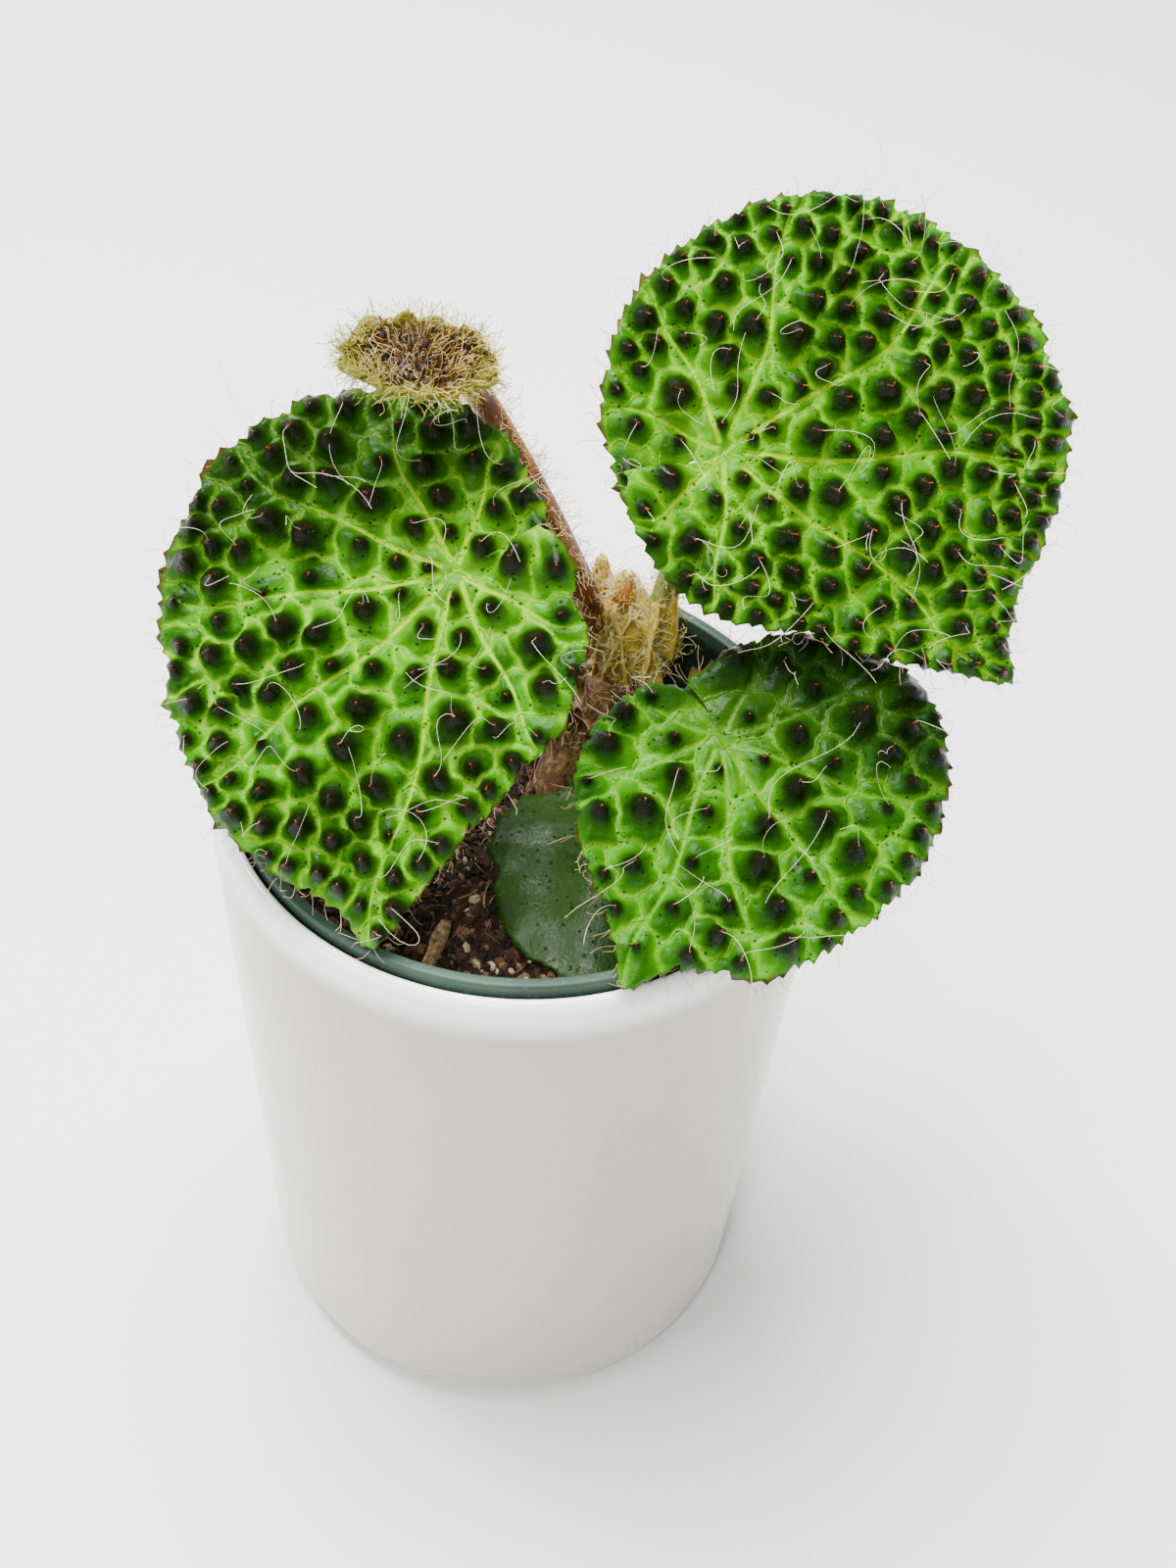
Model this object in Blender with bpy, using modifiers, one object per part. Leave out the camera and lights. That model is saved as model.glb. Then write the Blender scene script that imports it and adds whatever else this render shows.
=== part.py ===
"""Bullate begonia in a plastic nursery pot that stands in a glazed ceramic cover pot.

Metres, +Z up. The origin is the centre of the flat base that the cover pot rests on.
Each leaf is drawn in its own flat frame: the vein hub is at the origin, +Y runs along the
midrib to the tip and +Z is the upper side. A toothed outline, cone-shaped bullae on a
scattered pattern of cells and the sunk net between them are triangulated together, raised
by a formula, made solid and then set on the plant.
"""

import math
import random

import bmesh
import bpy
from mathutils import Matrix, Vector, noise
from mathutils.geometry import delaunay_2d_cdt

MM = 0.001
CLEARANCE = 0.3 * MM

# Cover pot, a slightly tapered glazed cylinder with a rounded lip
COVER_RIM_RADIUS = 60.0 * MM
COVER_FOOT_RADIUS = 52.9 * MM
COVER_HEIGHT = 149.0 * MM
COVER_WALL = 4.0 * MM
COVER_FLOOR = 5.0 * MM
COVER_STEPS = 48

# Nursery pot, thin moulded plastic with a deeper band round its rim
NURSERY_RIM_RADIUS = 55.5 * MM
NURSERY_RIM_BAND = 6.0 * MM
NURSERY_FOOT_RADIUS = 44.2 * MM
NURSERY_TOP = 151.0 * MM
NURSERY_WALL = 1.2 * MM
NURSERY_STEPS = 44
DRAIN_HOLES = 6
DRAIN_HOLE_RADIUS = 4.0 * MM
DRAIN_CIRCLE_RADIUS = 30.0 * MM

# Potting mix
SOIL_TOP = 132.0 * MM
SOIL_BUMP = 1.6 * MM
SOIL_CELLS = 20
SOIL_SEED = 4
STEM_DIMPLE_CENTRE = (9.5, 18.5)
STEM_DIMPLE_DEPTH = 2.4 * MM
STEM_DIMPLE_WIDTH = 13.0 * MM

# Leaf blades
BLADE_THICKNESS = 0.75 * MM
TOOTH_SPACING = 2.5 * MM
TOOTH_DEPTH = 1.1 * MM
CELL_SPACING_MIDDLE = 7.4 * MM
CELL_SPACING_EDGE = 5.4 * MM
VEIN_CLEARANCE = 2.5 * MM
MARGIN_CLEARANCE = 2.7 * MM
BULLA_HEIGHT_TO_RADIUS = 1.10
BULLA_CONE_SHARE = 0.62
BULLA_CONE_REACH = 0.72
RING_POINTS = 5
RING_AT = 0.5
NOTCH_START = 5.0 * MM
NOTCH_HALF_ANGLE = math.radians(2.5)
LOBE_TURN = math.radians(8.0)
LOBE_LIFT = 1.9 * MM
LOBE_SPREAD = math.radians(42.0)
DROOP = 3.0 * MM
DROOP_AT = 60.0 * MM
MARGIN_WAVE = 1.2 * MM

# Outline control points of each blade: degrees clockwise from the tip, millimetres from the hub
LEFT_OUTLINE = (
    (0, 69), (6, 63), (15, 62), (30, 61), (60, 55), (90, 51), (120, 44), (150, 35),
    (180, 27), (210, 20), (240, 17.5), (270, 22), (300, 30), (330, 38), (346, 47), (354, 57),
)
RIGHT_OUTLINE = (
    (0, 70), (5, 59), (15, 46), (30, 35), (60, 28.5), (90, 23), (120, 19), (150, 21),
    (180, 26), (210, 33.5), (240, 45), (270, 56.5), (300, 65), (316, 66), (345, 61), (355, 63),
)
FRONT_OUTLINE = (
    (0, 51), (6, 43), (15, 38), (30, 33), (60, 26), (90, 19), (120, 12), (150, 12.5),
    (180, 20), (210, 32), (240, 42), (270, 43), (300, 43), (330, 45), (345, 43.5), (354, 45),
)
JUVENILE_OUTLINE = (
    (0, 29), (30, 24), (60, 22.5), (90, 18), (120, 15), (180, 15), (240, 15.5),
    (270, 18.5), (300, 27.5), (330, 30.5),
)

# Where each blade's hub lies, which way it faces and where its tip points
LEFT_LEAF = {
    "hub": (-13.2, -1.7, 199.0), "slope": 38.0, "side": -6.0, "tip": (-0.18, -0.76, -0.62),
    "outline": LEFT_OUTLINE, "sinus": 236.0, "veins": (0, 34, 66, 98, 138, 186, 290, 326),
    "seed": 11, "over": 1.0,
}
RIGHT_LEAF = {
    "hub": (33.1, 20.4, 211.0), "slope": 44.0, "side": 6.0, "tip": (0.82, -0.34, -0.45),
    "outline": RIGHT_OUTLINE, "sinus": 124.0, "veins": (0, 52, 92, 166, 212, 256, 292, 326),
    "seed": 23, "over": -1.0,
}
FRONT_LEAF = {
    "hub": (35.2, -13.9, 173.5), "slope": 25.5, "side": 5.0, "tip": (-0.32, -0.86, -0.40),
    "outline": FRONT_OUTLINE, "sinus": 132.0, "veins": (0, 44, 84, 190, 232, 272, 308, 336),
    "seed": 37, "over": 1.0,
}
JUVENILE_LEAF = {
    "hub": (17.5, -11.5, 144.0), "slope": 12.0, "side": -4.0, "tip": (-0.64, -0.74, -0.20),
    "outline": JUVENILE_OUTLINE, "seed": 41,
}
JUVENILE_SPACING = 5.2 * MM
JUVENILE_THICKNESS = 0.9 * MM
JUVENILE_FOLD = 0.9 * MM

# Folded young leaf, still wrapped in its hairs
YOUNG_CENTRE = (-20.6, 17.6, 230.5)
YOUNG_LENGTH = 27.0 * MM
YOUNG_WIDTH = 17.0 * MM
YOUNG_THICKNESS = 1.8 * MM
YOUNG_CUP = 4.2 * MM
YOUNG_HAIRS = 84
YOUNG_HAIR_LENGTH = 4.6 * MM
YOUNG_HAIR_RADIUS = 0.5 * MM

# Stems, in millimetres along their centre lines
PETIOLE_RADIUS = 2.1 * MM
SLIM_PETIOLE_RADIUS = 1.5 * MM
PETIOLE_SIDES_RESOLUTION = 2
PETIOLE_STEPS = 4
LEFT_PETIOLE = ((-1.0, 23.0, 121.0), (-1.0, 23.0, 136.0), (-5.0, 17.5, 165.0))
RIGHT_PETIOLE = ((25.0, 35.5, 158.0), (27.0, 35.0, 170.0), (30.5, 32.5, 188.0))
FRONT_PETIOLE = ((24.5, 13.0, 121.0), (24.5, 12.5, 136.0), (29.5, 2.0, 154.0))
JUVENILE_PETIOLE = ((14.5, 3.0, 122.0), (14.5, 2.0, 132.5))
YOUNG_PETIOLE = (
    (14.0, 33.5, 152.0), (11.5, 31.0, 165.0), (7.2, 28.4, 178.0), (-1.2, 26.4, 198.0),
    (-8.2, 27.2, 211.0), (-12.2, 25.0, 220.0), (-14.0, 20.4, 226.7),
)

# Rhizome and the papery stipules round it
RHIZOME_PATH = ((5.0, 11.0, 120.0), (6.5, 13.5, 131.0), (10.0, 19.5, 139.0), (14.8, 27.6, 146.2))
RHIZOME_RADIUS = 4.6 * MM
CROWN_CENTRE = (19.8, 35.0, 152.5)
CROWN_RADII = (7.4, 6.4, 8.6)
CROWN_STIPULES = 8
STIPULE_LENGTH = 17.0 * MM
STIPULE_WIDTH = 10.5 * MM
STIPULE_THICKNESS = 0.8 * MM
CROWN_HAIRS = 26
CROWN_HAIR_LENGTH = 3.4 * MM
DRIED_STIPULES = 8
DRIED_LENGTH = 9.0 * MM
DRIED_WIDTH = 7.0 * MM
BUD_CENTRE = (18.4, 34.4, 163.6)
BUD_RADII = (2.5, 2.5, 4.4)

# Bark chip lying on the potting mix
BARK_CENTRE = (-14.5, -32.0)
BARK_SIZE = (2.6 * MM, 11.5 * MM, 1.9 * MM)
BARK_HEADING = math.radians(-14.0)


def clear_scene():
    """Remove every object that the new file starts with."""
    for obj in list(bpy.data.objects):
        bpy.data.objects.remove(obj, do_unlink=True)


def new_collection(name, parent):
    """Add a collection under another."""
    collection = bpy.data.collections.new(name)
    parent.children.link(collection)
    return collection


def surface(name, rgb, roughness, metallic=0.0):
    """A Principled material of one colour."""
    mat = bpy.data.materials.new(name)
    mat.use_nodes = True
    shader = mat.node_tree.nodes["Principled BSDF"]
    shader.inputs["Base Color"].default_value = (*rgb, 1.0)
    shader.inputs["Roughness"].default_value = roughness
    shader.inputs["Metallic"].default_value = metallic
    mat.diffuse_color = (*rgb, 1.0)
    return mat


def add_object(name, mesh, collection, mat=None):
    """Link a mesh as an object."""
    obj = bpy.data.objects.new(name, mesh)
    collection.objects.link(obj)
    if mat is not None:
        mesh.materials.clear()
        mesh.materials.append(mat)
    return obj


def mesh_from_bmesh(name, bm):
    """Write a bmesh to a new mesh and free it."""
    mesh = bpy.data.meshes.new(name)
    bm.to_mesh(mesh)
    bm.free()
    return mesh


def applied(obj):
    """Replace an object's mesh by its evaluated mesh, with no modifier left."""
    depsgraph = bpy.context.evaluated_depsgraph_get()
    mesh = bpy.data.meshes.new_from_object(obj.evaluated_get(depsgraph))
    obj.modifiers.clear()
    obj.data = mesh
    return obj


def turned(name, profile, steps, mat, collection):
    """A turned body: a profile that starts and ends on the axis, swept once round it."""
    bm = bmesh.new()
    verts = [bm.verts.new((radius, 0.0, height)) for radius, height in profile]
    for start, end in zip(verts, verts[1:]):
        bm.edges.new((start, end))
    obj = add_object(name, mesh_from_bmesh(name, bm), collection, mat)
    screw = obj.modifiers.new("Screw", "SCREW")
    screw.axis = "Z"
    screw.angle = math.tau
    screw.steps = steps
    screw.render_steps = steps
    screw.use_merge_vertices = True
    screw.merge_threshold = 0.00001
    return obj


def tube(name, points, radius, mat, collection, steps=PETIOLE_STEPS):
    """A stem: a smooth curve through its points with a round bevel, made a mesh and capped."""
    curve = bpy.data.curves.new(name, "CURVE")
    curve.dimensions = "3D"
    curve.bevel_depth = radius
    curve.bevel_resolution = PETIOLE_SIDES_RESOLUTION
    curve.resolution_u = steps
    curve.render_resolution_u = 0
    curve.use_fill_caps = True
    spline = curve.splines.new("BEZIER")
    spline.bezier_points.add(len(points) - 1)
    for knot, point in zip(spline.bezier_points, points):
        knot.co = point
        knot.handle_left_type = "AUTO"
        knot.handle_right_type = "AUTO"
    source = bpy.data.objects.new(name + "_curve", curve)
    collection.objects.link(source)
    depsgraph = bpy.context.evaluated_depsgraph_get()
    mesh = bpy.data.meshes.new_from_object(source.evaluated_get(depsgraph))
    bpy.data.objects.remove(source, do_unlink=True)
    bm = bmesh.new()
    bm.from_mesh(mesh)
    bmesh.ops.remove_doubles(bm, verts=bm.verts, dist=0.000001)
    bmesh.ops.recalc_face_normals(bm, faces=bm.faces)
    bm.to_mesh(mesh)
    bm.free()
    mesh.name = name
    return add_object(name, mesh, collection, mat)


def as_cutter(obj):
    """Mark an object as a cutter that neither renders nor counts as a part."""
    obj.hide_render = True
    obj.display_type = "WIRE"
    return obj


def subtract(obj, cutter, solver="EXACT"):
    """Cut one object by another."""
    cut = obj.modifiers.new("Cut " + cutter.name, "BOOLEAN")
    cut.operation = "DIFFERENCE"
    cut.solver = solver
    cut.object = cutter


def join_repeats(obj, collection):
    """Fuse a collection of repeats to the object that carries them, then remove them."""
    union = obj.modifiers.new("Join", "BOOLEAN")
    union.operation = "UNION"
    union.solver = "EXACT"
    union.operand_type = "COLLECTION"
    union.collection = collection
    applied(obj)
    for repeat in list(collection.objects):
        bpy.data.objects.remove(repeat, do_unlink=True)
    bpy.data.collections.remove(collection)


def millimetres(point):
    """A point given in millimetres, in metres."""
    return Vector(point) * MM


def leaf_frame(leaf):
    """The matrix that takes a leaf's flat frame to its place on the plant."""
    slope = math.radians(leaf["slope"])
    side = math.radians(leaf["side"])
    normal = Vector((
        math.sin(side), -math.sin(slope) * math.cos(side), math.cos(slope) * math.cos(side)
    )).normalized()
    tip = Vector(leaf["tip"])
    tip = (tip - normal * tip.dot(normal)).normalized()
    right = tip.cross(normal)
    matrix = Matrix((right, tip, normal)).transposed().to_4x4()
    matrix.translation = millimetres(leaf["hub"])
    return matrix


def outline_radius(outline, degrees):
    """The blade's reach at an angle from its tip, eased between the control points."""
    total = 0.0
    for offset, weight in ((-3.0, 1.0), (0.0, 2.0), (3.0, 1.0)):
        angle = (degrees + offset) % 360.0
        knots = outline + ((360.0, outline[0][1]),)
        for (start, low), (end, high) in zip(knots, knots[1:]):
            if start <= angle <= end:
                total += weight * (low + (high - low) * (angle - start) / (end - start))
                break
    return total / 4.0 * MM


def polar(degrees, radius):
    """A point of the flat frame at an angle clockwise from the tip."""
    angle = math.radians(degrees)
    return Vector((math.sin(angle) * radius, math.cos(angle) * radius))


def degrees_of(point):
    """The angle of a flat point, clockwise from the tip."""
    return math.degrees(math.atan2(point.x, point.y)) % 360.0


def vein_points(leaf, spacing):
    """Points along the main veins, which leave the hub and fork once on their way out."""
    lines = []
    for angle in leaf["veins"]:
        reach = outline_radius(leaf["outline"], angle)
        fork = 0.52 * reach
        lines.append([polar(angle, fork * step / 8.0) for step in range(2, 9)])
        for spread in (-1.0, 1.0):
            if angle == 0 and spread > 0.0:
                end = polar(angle, reach - 2.0 * MM)
            else:
                end_angle = angle + spread * 9.0
                end = polar(end_angle, outline_radius(leaf["outline"], end_angle) - 2.0 * MM)
            start = polar(angle, fork)
            lines.append([start.lerp(end, step / 8.0) for step in range(1, 9)])
    points = []
    for line in lines:
        for point in line:
            if all((point - other).length > spacing for other in points):
                points.append(point)
    return points


def toothed_outline(leaf, rng, notch):
    """The margin of a blade as small forward teeth, with the narrow notch of the sinus."""
    outline = leaf["outline"]
    start = leaf.get("sinus", 0.0)
    gap = math.degrees(NOTCH_HALF_ANGLE) if notch else 0.0
    points = []
    degrees = start + gap
    side = 1
    while degrees < start + 360.0 - gap - 1.0:
        radius = outline_radius(outline, degrees)
        tooth = TOOTH_DEPTH * rng.uniform(0.25, 0.6) * side
        points.append(polar(degrees, radius + tooth))
        slant = abs(outline_radius(outline, degrees + 2.0) - radius) / math.radians(2.0)
        degrees += math.degrees(TOOTH_SPACING * rng.uniform(0.8, 1.15) / math.hypot(radius, slant))
        side = -side
    if notch:
        reach = outline_radius(outline, start)
        inner = max(2, round((reach - NOTCH_START) / (3.5 * MM)))
        points.append(polar(start - gap, reach))
        for step in range(1, inner + 1):
            points.append(polar(start - gap, reach + (NOTCH_START - reach) * step / inner))
        for step in range(inner, 0, -1):
            points.append(polar(start + gap, reach + (NOTCH_START - reach) * step / inner))
    return points


def scatter_cells(leaf, veins, rng, spacing_scale=1.0):
    """Centres of the bullae, drawn at random and kept apart from each other and the veins."""
    outline = leaf["outline"]
    reach = max(radius for angle, radius in outline) * MM
    notch = [polar(leaf["sinus"], NOTCH_START + step * 2.0 * MM) for step in range(20)]
    cells = []
    for attempt in range(9000):
        point = Vector((rng.uniform(-reach, reach), rng.uniform(-reach, reach)))
        edge = outline_radius(outline, degrees_of(point))
        if point.length < 5.5 * MM or point.length > edge - MARGIN_CLEARANCE:
            continue
        share = point.length / edge
        middle = math.sin(math.pi * min(1.0, share)) ** 0.7
        spacing = CELL_SPACING_EDGE + (CELL_SPACING_MIDDLE - CELL_SPACING_EDGE) * middle
        spacing *= spacing_scale
        if any((point - other).length < spacing for other in cells):
            continue
        if any((point - vein).length < VEIN_CLEARANCE for vein in veins):
            continue
        if any((point - slit).length < 2.4 * MM for slit in notch):
            continue
        cells.append(point)
    return cells


def cell_radii(cells, veins, outline):
    """Half the room that each bulla has to its nearest neighbour, vein or margin."""
    radii = []
    for cell in cells:
        room = min((cell - other).length for other in cells if other is not cell) * 0.5
        vein = min((cell - point).length for point in veins)
        edge = outline_radius(outline, degrees_of(cell)) - cell.length
        radii.append(min(room * 1.15, max(vein, 2.2 * MM), max(edge, 2.2 * MM), 4.2 * MM))
    return radii


def bulla_profile(share):
    """Height of a bulla at a share of its radius: a low pillow that carries a steep cone."""
    if share >= 1.0:
        return 0.0
    pillow = (1.0 - BULLA_CONE_SHARE) * (1.0 - share * share)
    cone = BULLA_CONE_SHARE * max(0.0, 1.0 - share / BULLA_CONE_REACH)
    return pillow + cone


def sinus_share(point, leaf):
    """How far a point lies in the lobes beside the sinus, -1 to 1, and the sense of its side."""
    turn = math.radians((degrees_of(point) - leaf["sinus"]) % 360.0)
    side = 1.0
    if turn > math.pi:
        turn = math.tau - turn
        side = -1.0
    near = max(0.0, 1.0 - turn / LOBE_SPREAD)
    out = min(1.0, max(0.0, (point.length - NOTCH_START) / (8.0 * MM)))
    return side, near * near * (3.0 - 2.0 * near), out * out * (3.0 - 2.0 * out)


def blade_form(point, leaf):
    """The large form of a blade without its bullae: a dome with a gently waved margin."""
    edge = outline_radius(leaf["outline"], degrees_of(point))
    share = min(1.0, point.length / edge)
    angle = math.radians(degrees_of(point))
    wave = MARGIN_WAVE * math.sin(5.0 * angle + leaf["seed"]) * share ** 4
    return wave - DROOP * (point.length / DROOP_AT) ** 2


def bullate_blade(name, leaf, mat, collection):
    """A blade whose bullae, net and toothed margin are triangulated as one sheet."""
    rng = random.Random(leaf["seed"])
    outline = toothed_outline(leaf, rng, True)
    veins = vein_points(leaf, 3.6 * MM)
    cells = scatter_cells(leaf, veins, rng)
    radii = cell_radii(cells, veins, leaf["outline"])
    hub = [Vector((0.0, 0.0))]
    hub += [polar(angle, 2.6 * MM) for angle in range(20, 380, 60)]
    points = list(outline)
    heights = [0.0] * len(outline)
    for point in hub:
        points.append(point)
        heights.append(0.0)
    taken = list(hub)
    for cell, radius in zip(cells, radii):
        height = BULLA_HEIGHT_TO_RADIUS * radius
        side, near, out = sinus_share(cell, leaf)
        height *= 1.0 - 0.55 * near * out
        points.append(cell)
        heights.append(height)
        spin = rng.uniform(0.0, 360.0)
        for step in range(RING_POINTS):
            offset = polar(spin + step * 360.0 / RING_POINTS, radius * RING_AT)
            points.append(cell + offset)
            heights.append(height * bulla_profile(RING_AT))
            taken.append(cell + offset)
    for vein in veins:
        if all((vein - other).length > 1.3 * MM for other in taken):
            points.append(vein)
            heights.append(0.0)
            taken.append(vein)
    triangulated = delaunay_2d_cdt(cells, [], [], 0, 1e-7)
    for face in triangulated[2]:
        corners = [triangulated[0][index] for index in face]
        centre = sum(corners, Vector((0.0, 0.0))) / 3.0
        edge = outline_radius(leaf["outline"], degrees_of(centre))
        if centre.length > edge - 1.8 * MM or max((c - centre).length for c in corners) > 7.5 * MM:
            continue
        side, near, out = sinus_share(centre, leaf)
        if near > 0.93:
            continue
        if all((centre - other).length > 1.5 * MM for other in taken):
            points.append(centre)
            heights.append(0.0)
            taken.append(centre)
    loop = list(range(len(outline)))
    flat = delaunay_2d_cdt(points, [], [loop], 1, 1e-7)
    bm = bmesh.new()
    verts = []
    for index, point in enumerate(flat[0]):
        origin = flat[3][index]
        height = heights[origin[0]] if origin else 0.0
        side, near, out = sinus_share(point, leaf)
        turn = -side * LOBE_TURN * near * out
        lift = side * leaf["over"] * LOBE_LIFT * near * out
        height += blade_form(point, leaf) + lift
        spun = Vector((
            point.x * math.cos(turn) + point.y * math.sin(turn),
            point.y * math.cos(turn) - point.x * math.sin(turn),
        ))
        verts.append(bm.verts.new((spun.x, spun.y, height)))
    for face in flat[2]:
        bm.faces.new([verts[index] for index in face])
    bmesh.ops.recalc_face_normals(bm, faces=bm.faces)
    if sum(face.normal.z for face in bm.faces) < 0.0:
        bmesh.ops.reverse_faces(bm, faces=bm.faces)
    obj = add_object(name, mesh_from_bmesh(name, bm), collection, mat)
    solid = obj.modifiers.new("Solidify", "SOLIDIFY")
    solid.thickness = BLADE_THICKNESS
    solid.offset = -1.0
    split = obj.modifiers.new("Triangulate", "TRIANGULATE")
    split.quad_method = "SHORTEST_DIAGONAL"
    obj.matrix_world = leaf_frame(leaf)
    return obj


def smooth_blade(name, leaf, mat, collection):
    """The juvenile blade: no bullae yet, only soft folds that follow its veins."""
    rng = random.Random(leaf["seed"])
    outline = toothed_outline(leaf, rng, False)
    points = list(outline)
    reach = max(radius for angle, radius in leaf["outline"]) * MM
    steps = int(2.0 * reach / JUVENILE_SPACING)
    for row in range(steps + 1):
        for column in range(steps + 1):
            shift = 0.5 * (row % 2)
            point = Vector((
                -reach + (column + shift) * JUVENILE_SPACING,
                -reach + row * JUVENILE_SPACING,
            ))
            edge = outline_radius(leaf["outline"], degrees_of(point))
            if point.length < edge - 2.2 * MM:
                points.append(point)
    flat = delaunay_2d_cdt(points, [], [list(range(len(outline)))], 1, 1e-7)
    bm = bmesh.new()
    verts = []
    for point in flat[0]:
        angle = math.radians(degrees_of(point))
        edge = outline_radius(leaf["outline"], degrees_of(point))
        share = min(1.0, point.length / edge)
        fold = JUVENILE_FOLD * math.cos(7.0 * angle) * share
        height = fold - 3.4 * MM * share ** 2
        verts.append(bm.verts.new((point.x, point.y, height)))
    for face in flat[2]:
        bm.faces.new([verts[index] for index in face])
    bmesh.ops.recalc_face_normals(bm, faces=bm.faces)
    if sum(face.normal.z for face in bm.faces) < 0.0:
        bmesh.ops.reverse_faces(bm, faces=bm.faces)
    obj = add_object(name, mesh_from_bmesh(name, bm), collection, mat)
    solid = obj.modifiers.new("Solidify", "SOLIDIFY")
    solid.thickness = JUVENILE_THICKNESS
    solid.offset = -1.0
    split = obj.modifiers.new("Triangulate", "TRIANGULATE")
    split.quad_method = "SHORTEST_DIAGONAL"
    obj.matrix_world = leaf_frame(leaf)
    return obj


def hair_cone(name, root, direction, length, radius, collection):
    """A stiff three-sided hair with its root sunk in what it grows from."""
    bm = bmesh.new()
    bmesh.ops.create_cone(
        bm, cap_ends=True, cap_tris=False, segments=3,
        radius1=radius, radius2=radius * 0.3, depth=length,
    )
    turn = direction.to_track_quat("Z", "Y").to_matrix().to_4x4()
    bm.transform(Matrix.Translation(root + direction * length * 0.36) @ turn)
    return add_object(name, mesh_from_bmesh(name, bm), collection)


def young_leaf(mat, collection, repeats_parent):
    """The folded young leaf: a boat-shaped blade with tufts of stiff hairs all over it."""
    rng = random.Random(52)
    bm = bmesh.new()
    bmesh.ops.create_grid(bm, x_segments=7, y_segments=5, size=1.0)
    spots = []
    for vert in bm.verts:
        u, v = vert.co.x, vert.co.y
        half = 0.5 * YOUNG_WIDTH * math.sqrt(max(0.06, 1.0 - 0.93 * u * u))
        cup = YOUNG_CUP * (v * v) * (1.0 - 0.3 * u) - 1.6 * MM * u * u
        vert.co = Vector((u * YOUNG_LENGTH * 0.5, v * half, cup))
    obj = add_object("leaf_young", mesh_from_bmesh("leaf_young", bm), collection, mat)
    solid = obj.modifiers.new("Solidify", "SOLIDIFY")
    solid.thickness = YOUNG_THICKNESS
    solid.offset = 0.0
    split = obj.modifiers.new("Triangulate", "TRIANGULATE")
    split.quad_method = "SHORTEST_DIAGONAL"
    applied(obj)
    faces = [(f.center.copy(), f.normal.copy()) for f in obj.data.polygons]
    repeats = new_collection("young hairs", repeats_parent)
    for index in range(YOUNG_HAIRS):
        centre, normal = faces[(index * 37) % len(faces)]
        sway = Vector((rng.uniform(-0.5, 0.5), rng.uniform(-0.5, 0.5), rng.uniform(-0.2, 0.5)))
        direction = (normal + sway).normalized()
        length = YOUNG_HAIR_LENGTH * rng.uniform(0.7, 1.15)
        hair_cone("hair", centre, direction, length, YOUNG_HAIR_RADIUS, repeats)
    join_repeats(obj, repeats)
    place = Matrix.Translation(millimetres(YOUNG_CENTRE))
    obj.matrix_world = place @ Matrix.Rotation(math.radians(6.0), 4, "Y") @ Matrix.Rotation(
        math.radians(38.0), 4, "X") @ Matrix.Rotation(math.radians(4.0), 4, "Z")
    return obj


def papery_scale(name, length, width, bend, thickness, matrix, collection):
    """A pointed papery stipule: a small grid drawn to a tip, cupped across and bent along."""
    bm = bmesh.new()
    bmesh.ops.create_grid(bm, x_segments=2, y_segments=3, size=1.0)
    for vert in bm.verts:
        u, w = vert.co.x, 0.5 * (vert.co.y + 1.0)
        half = 0.5 * width * (1.0 - 0.9 * w ** 1.7)
        cup = -0.28 * width * u * u * (1.0 - 0.5 * w)
        vert.co = Vector((u * half, cup + bend * w * w, length * w))
    bmesh.ops.recalc_face_normals(bm, faces=bm.faces)
    obj = add_object(name, mesh_from_bmesh(name, bm), collection)
    solid = obj.modifiers.new("Solidify", "SOLIDIFY")
    solid.thickness = thickness
    solid.offset = 0.0
    applied(obj)
    obj.data.transform(matrix)
    return obj


def crown(mat, collection, repeats_parent):
    """The crown: a core wrapped in overlapping golden stipules and short woolly tufts."""
    rng = random.Random(61)
    bm = bmesh.new()
    bmesh.ops.create_uvsphere(bm, u_segments=12, v_segments=8, radius=1.0)
    bm.transform(Matrix.Diagonal((*(millimetres(CROWN_RADII)), 1.0)))
    bm.transform(Matrix.Translation(millimetres(CROWN_CENTRE)))
    obj = add_object("crown_stipules", mesh_from_bmesh("crown_stipules", bm), collection, mat)
    repeats = new_collection("crown scales", repeats_parent)
    for index in range(CROWN_STIPULES):
        turn = math.tau * (index + 0.3 * rng.random()) / CROWN_STIPULES
        outward = Matrix.Rotation(turn, 4, "Z")
        row = index % 3
        lean = Matrix.Rotation(math.radians(-4.0 + 9.0 * row), 4, "X")
        radius = (5.9 - 0.5 * row) * MM
        shift = Matrix.Translation(Vector((0.0, -radius, (-7.0 + 3.4 * row) * MM)))
        centre = Matrix.Translation(millimetres(CROWN_CENTRE))
        length = STIPULE_LENGTH * rng.uniform(0.82, 1.05)
        papery_scale(
            "stipule", length, STIPULE_WIDTH, 1.5 * MM, STIPULE_THICKNESS,
            centre @ outward @ shift @ lean, repeats,
        )
    for index in range(CROWN_HAIRS):
        turn = rng.uniform(0.0, math.tau)
        climb = rng.uniform(-0.7, 0.55)
        direction = Vector((
            math.cos(turn) * math.cos(climb), math.sin(turn) * math.cos(climb), math.sin(climb)
        ))
        root = millimetres(CROWN_CENTRE) + Vector((
            direction.x * CROWN_RADII[0], direction.y * CROWN_RADII[1],
            direction.z * CROWN_RADII[2],
        )) * MM
        length = CROWN_HAIR_LENGTH * rng.uniform(0.8, 1.3)
        hair_cone("hair", root, direction, length, 0.45 * MM, repeats)
    join_repeats(obj, repeats)
    return obj


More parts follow.
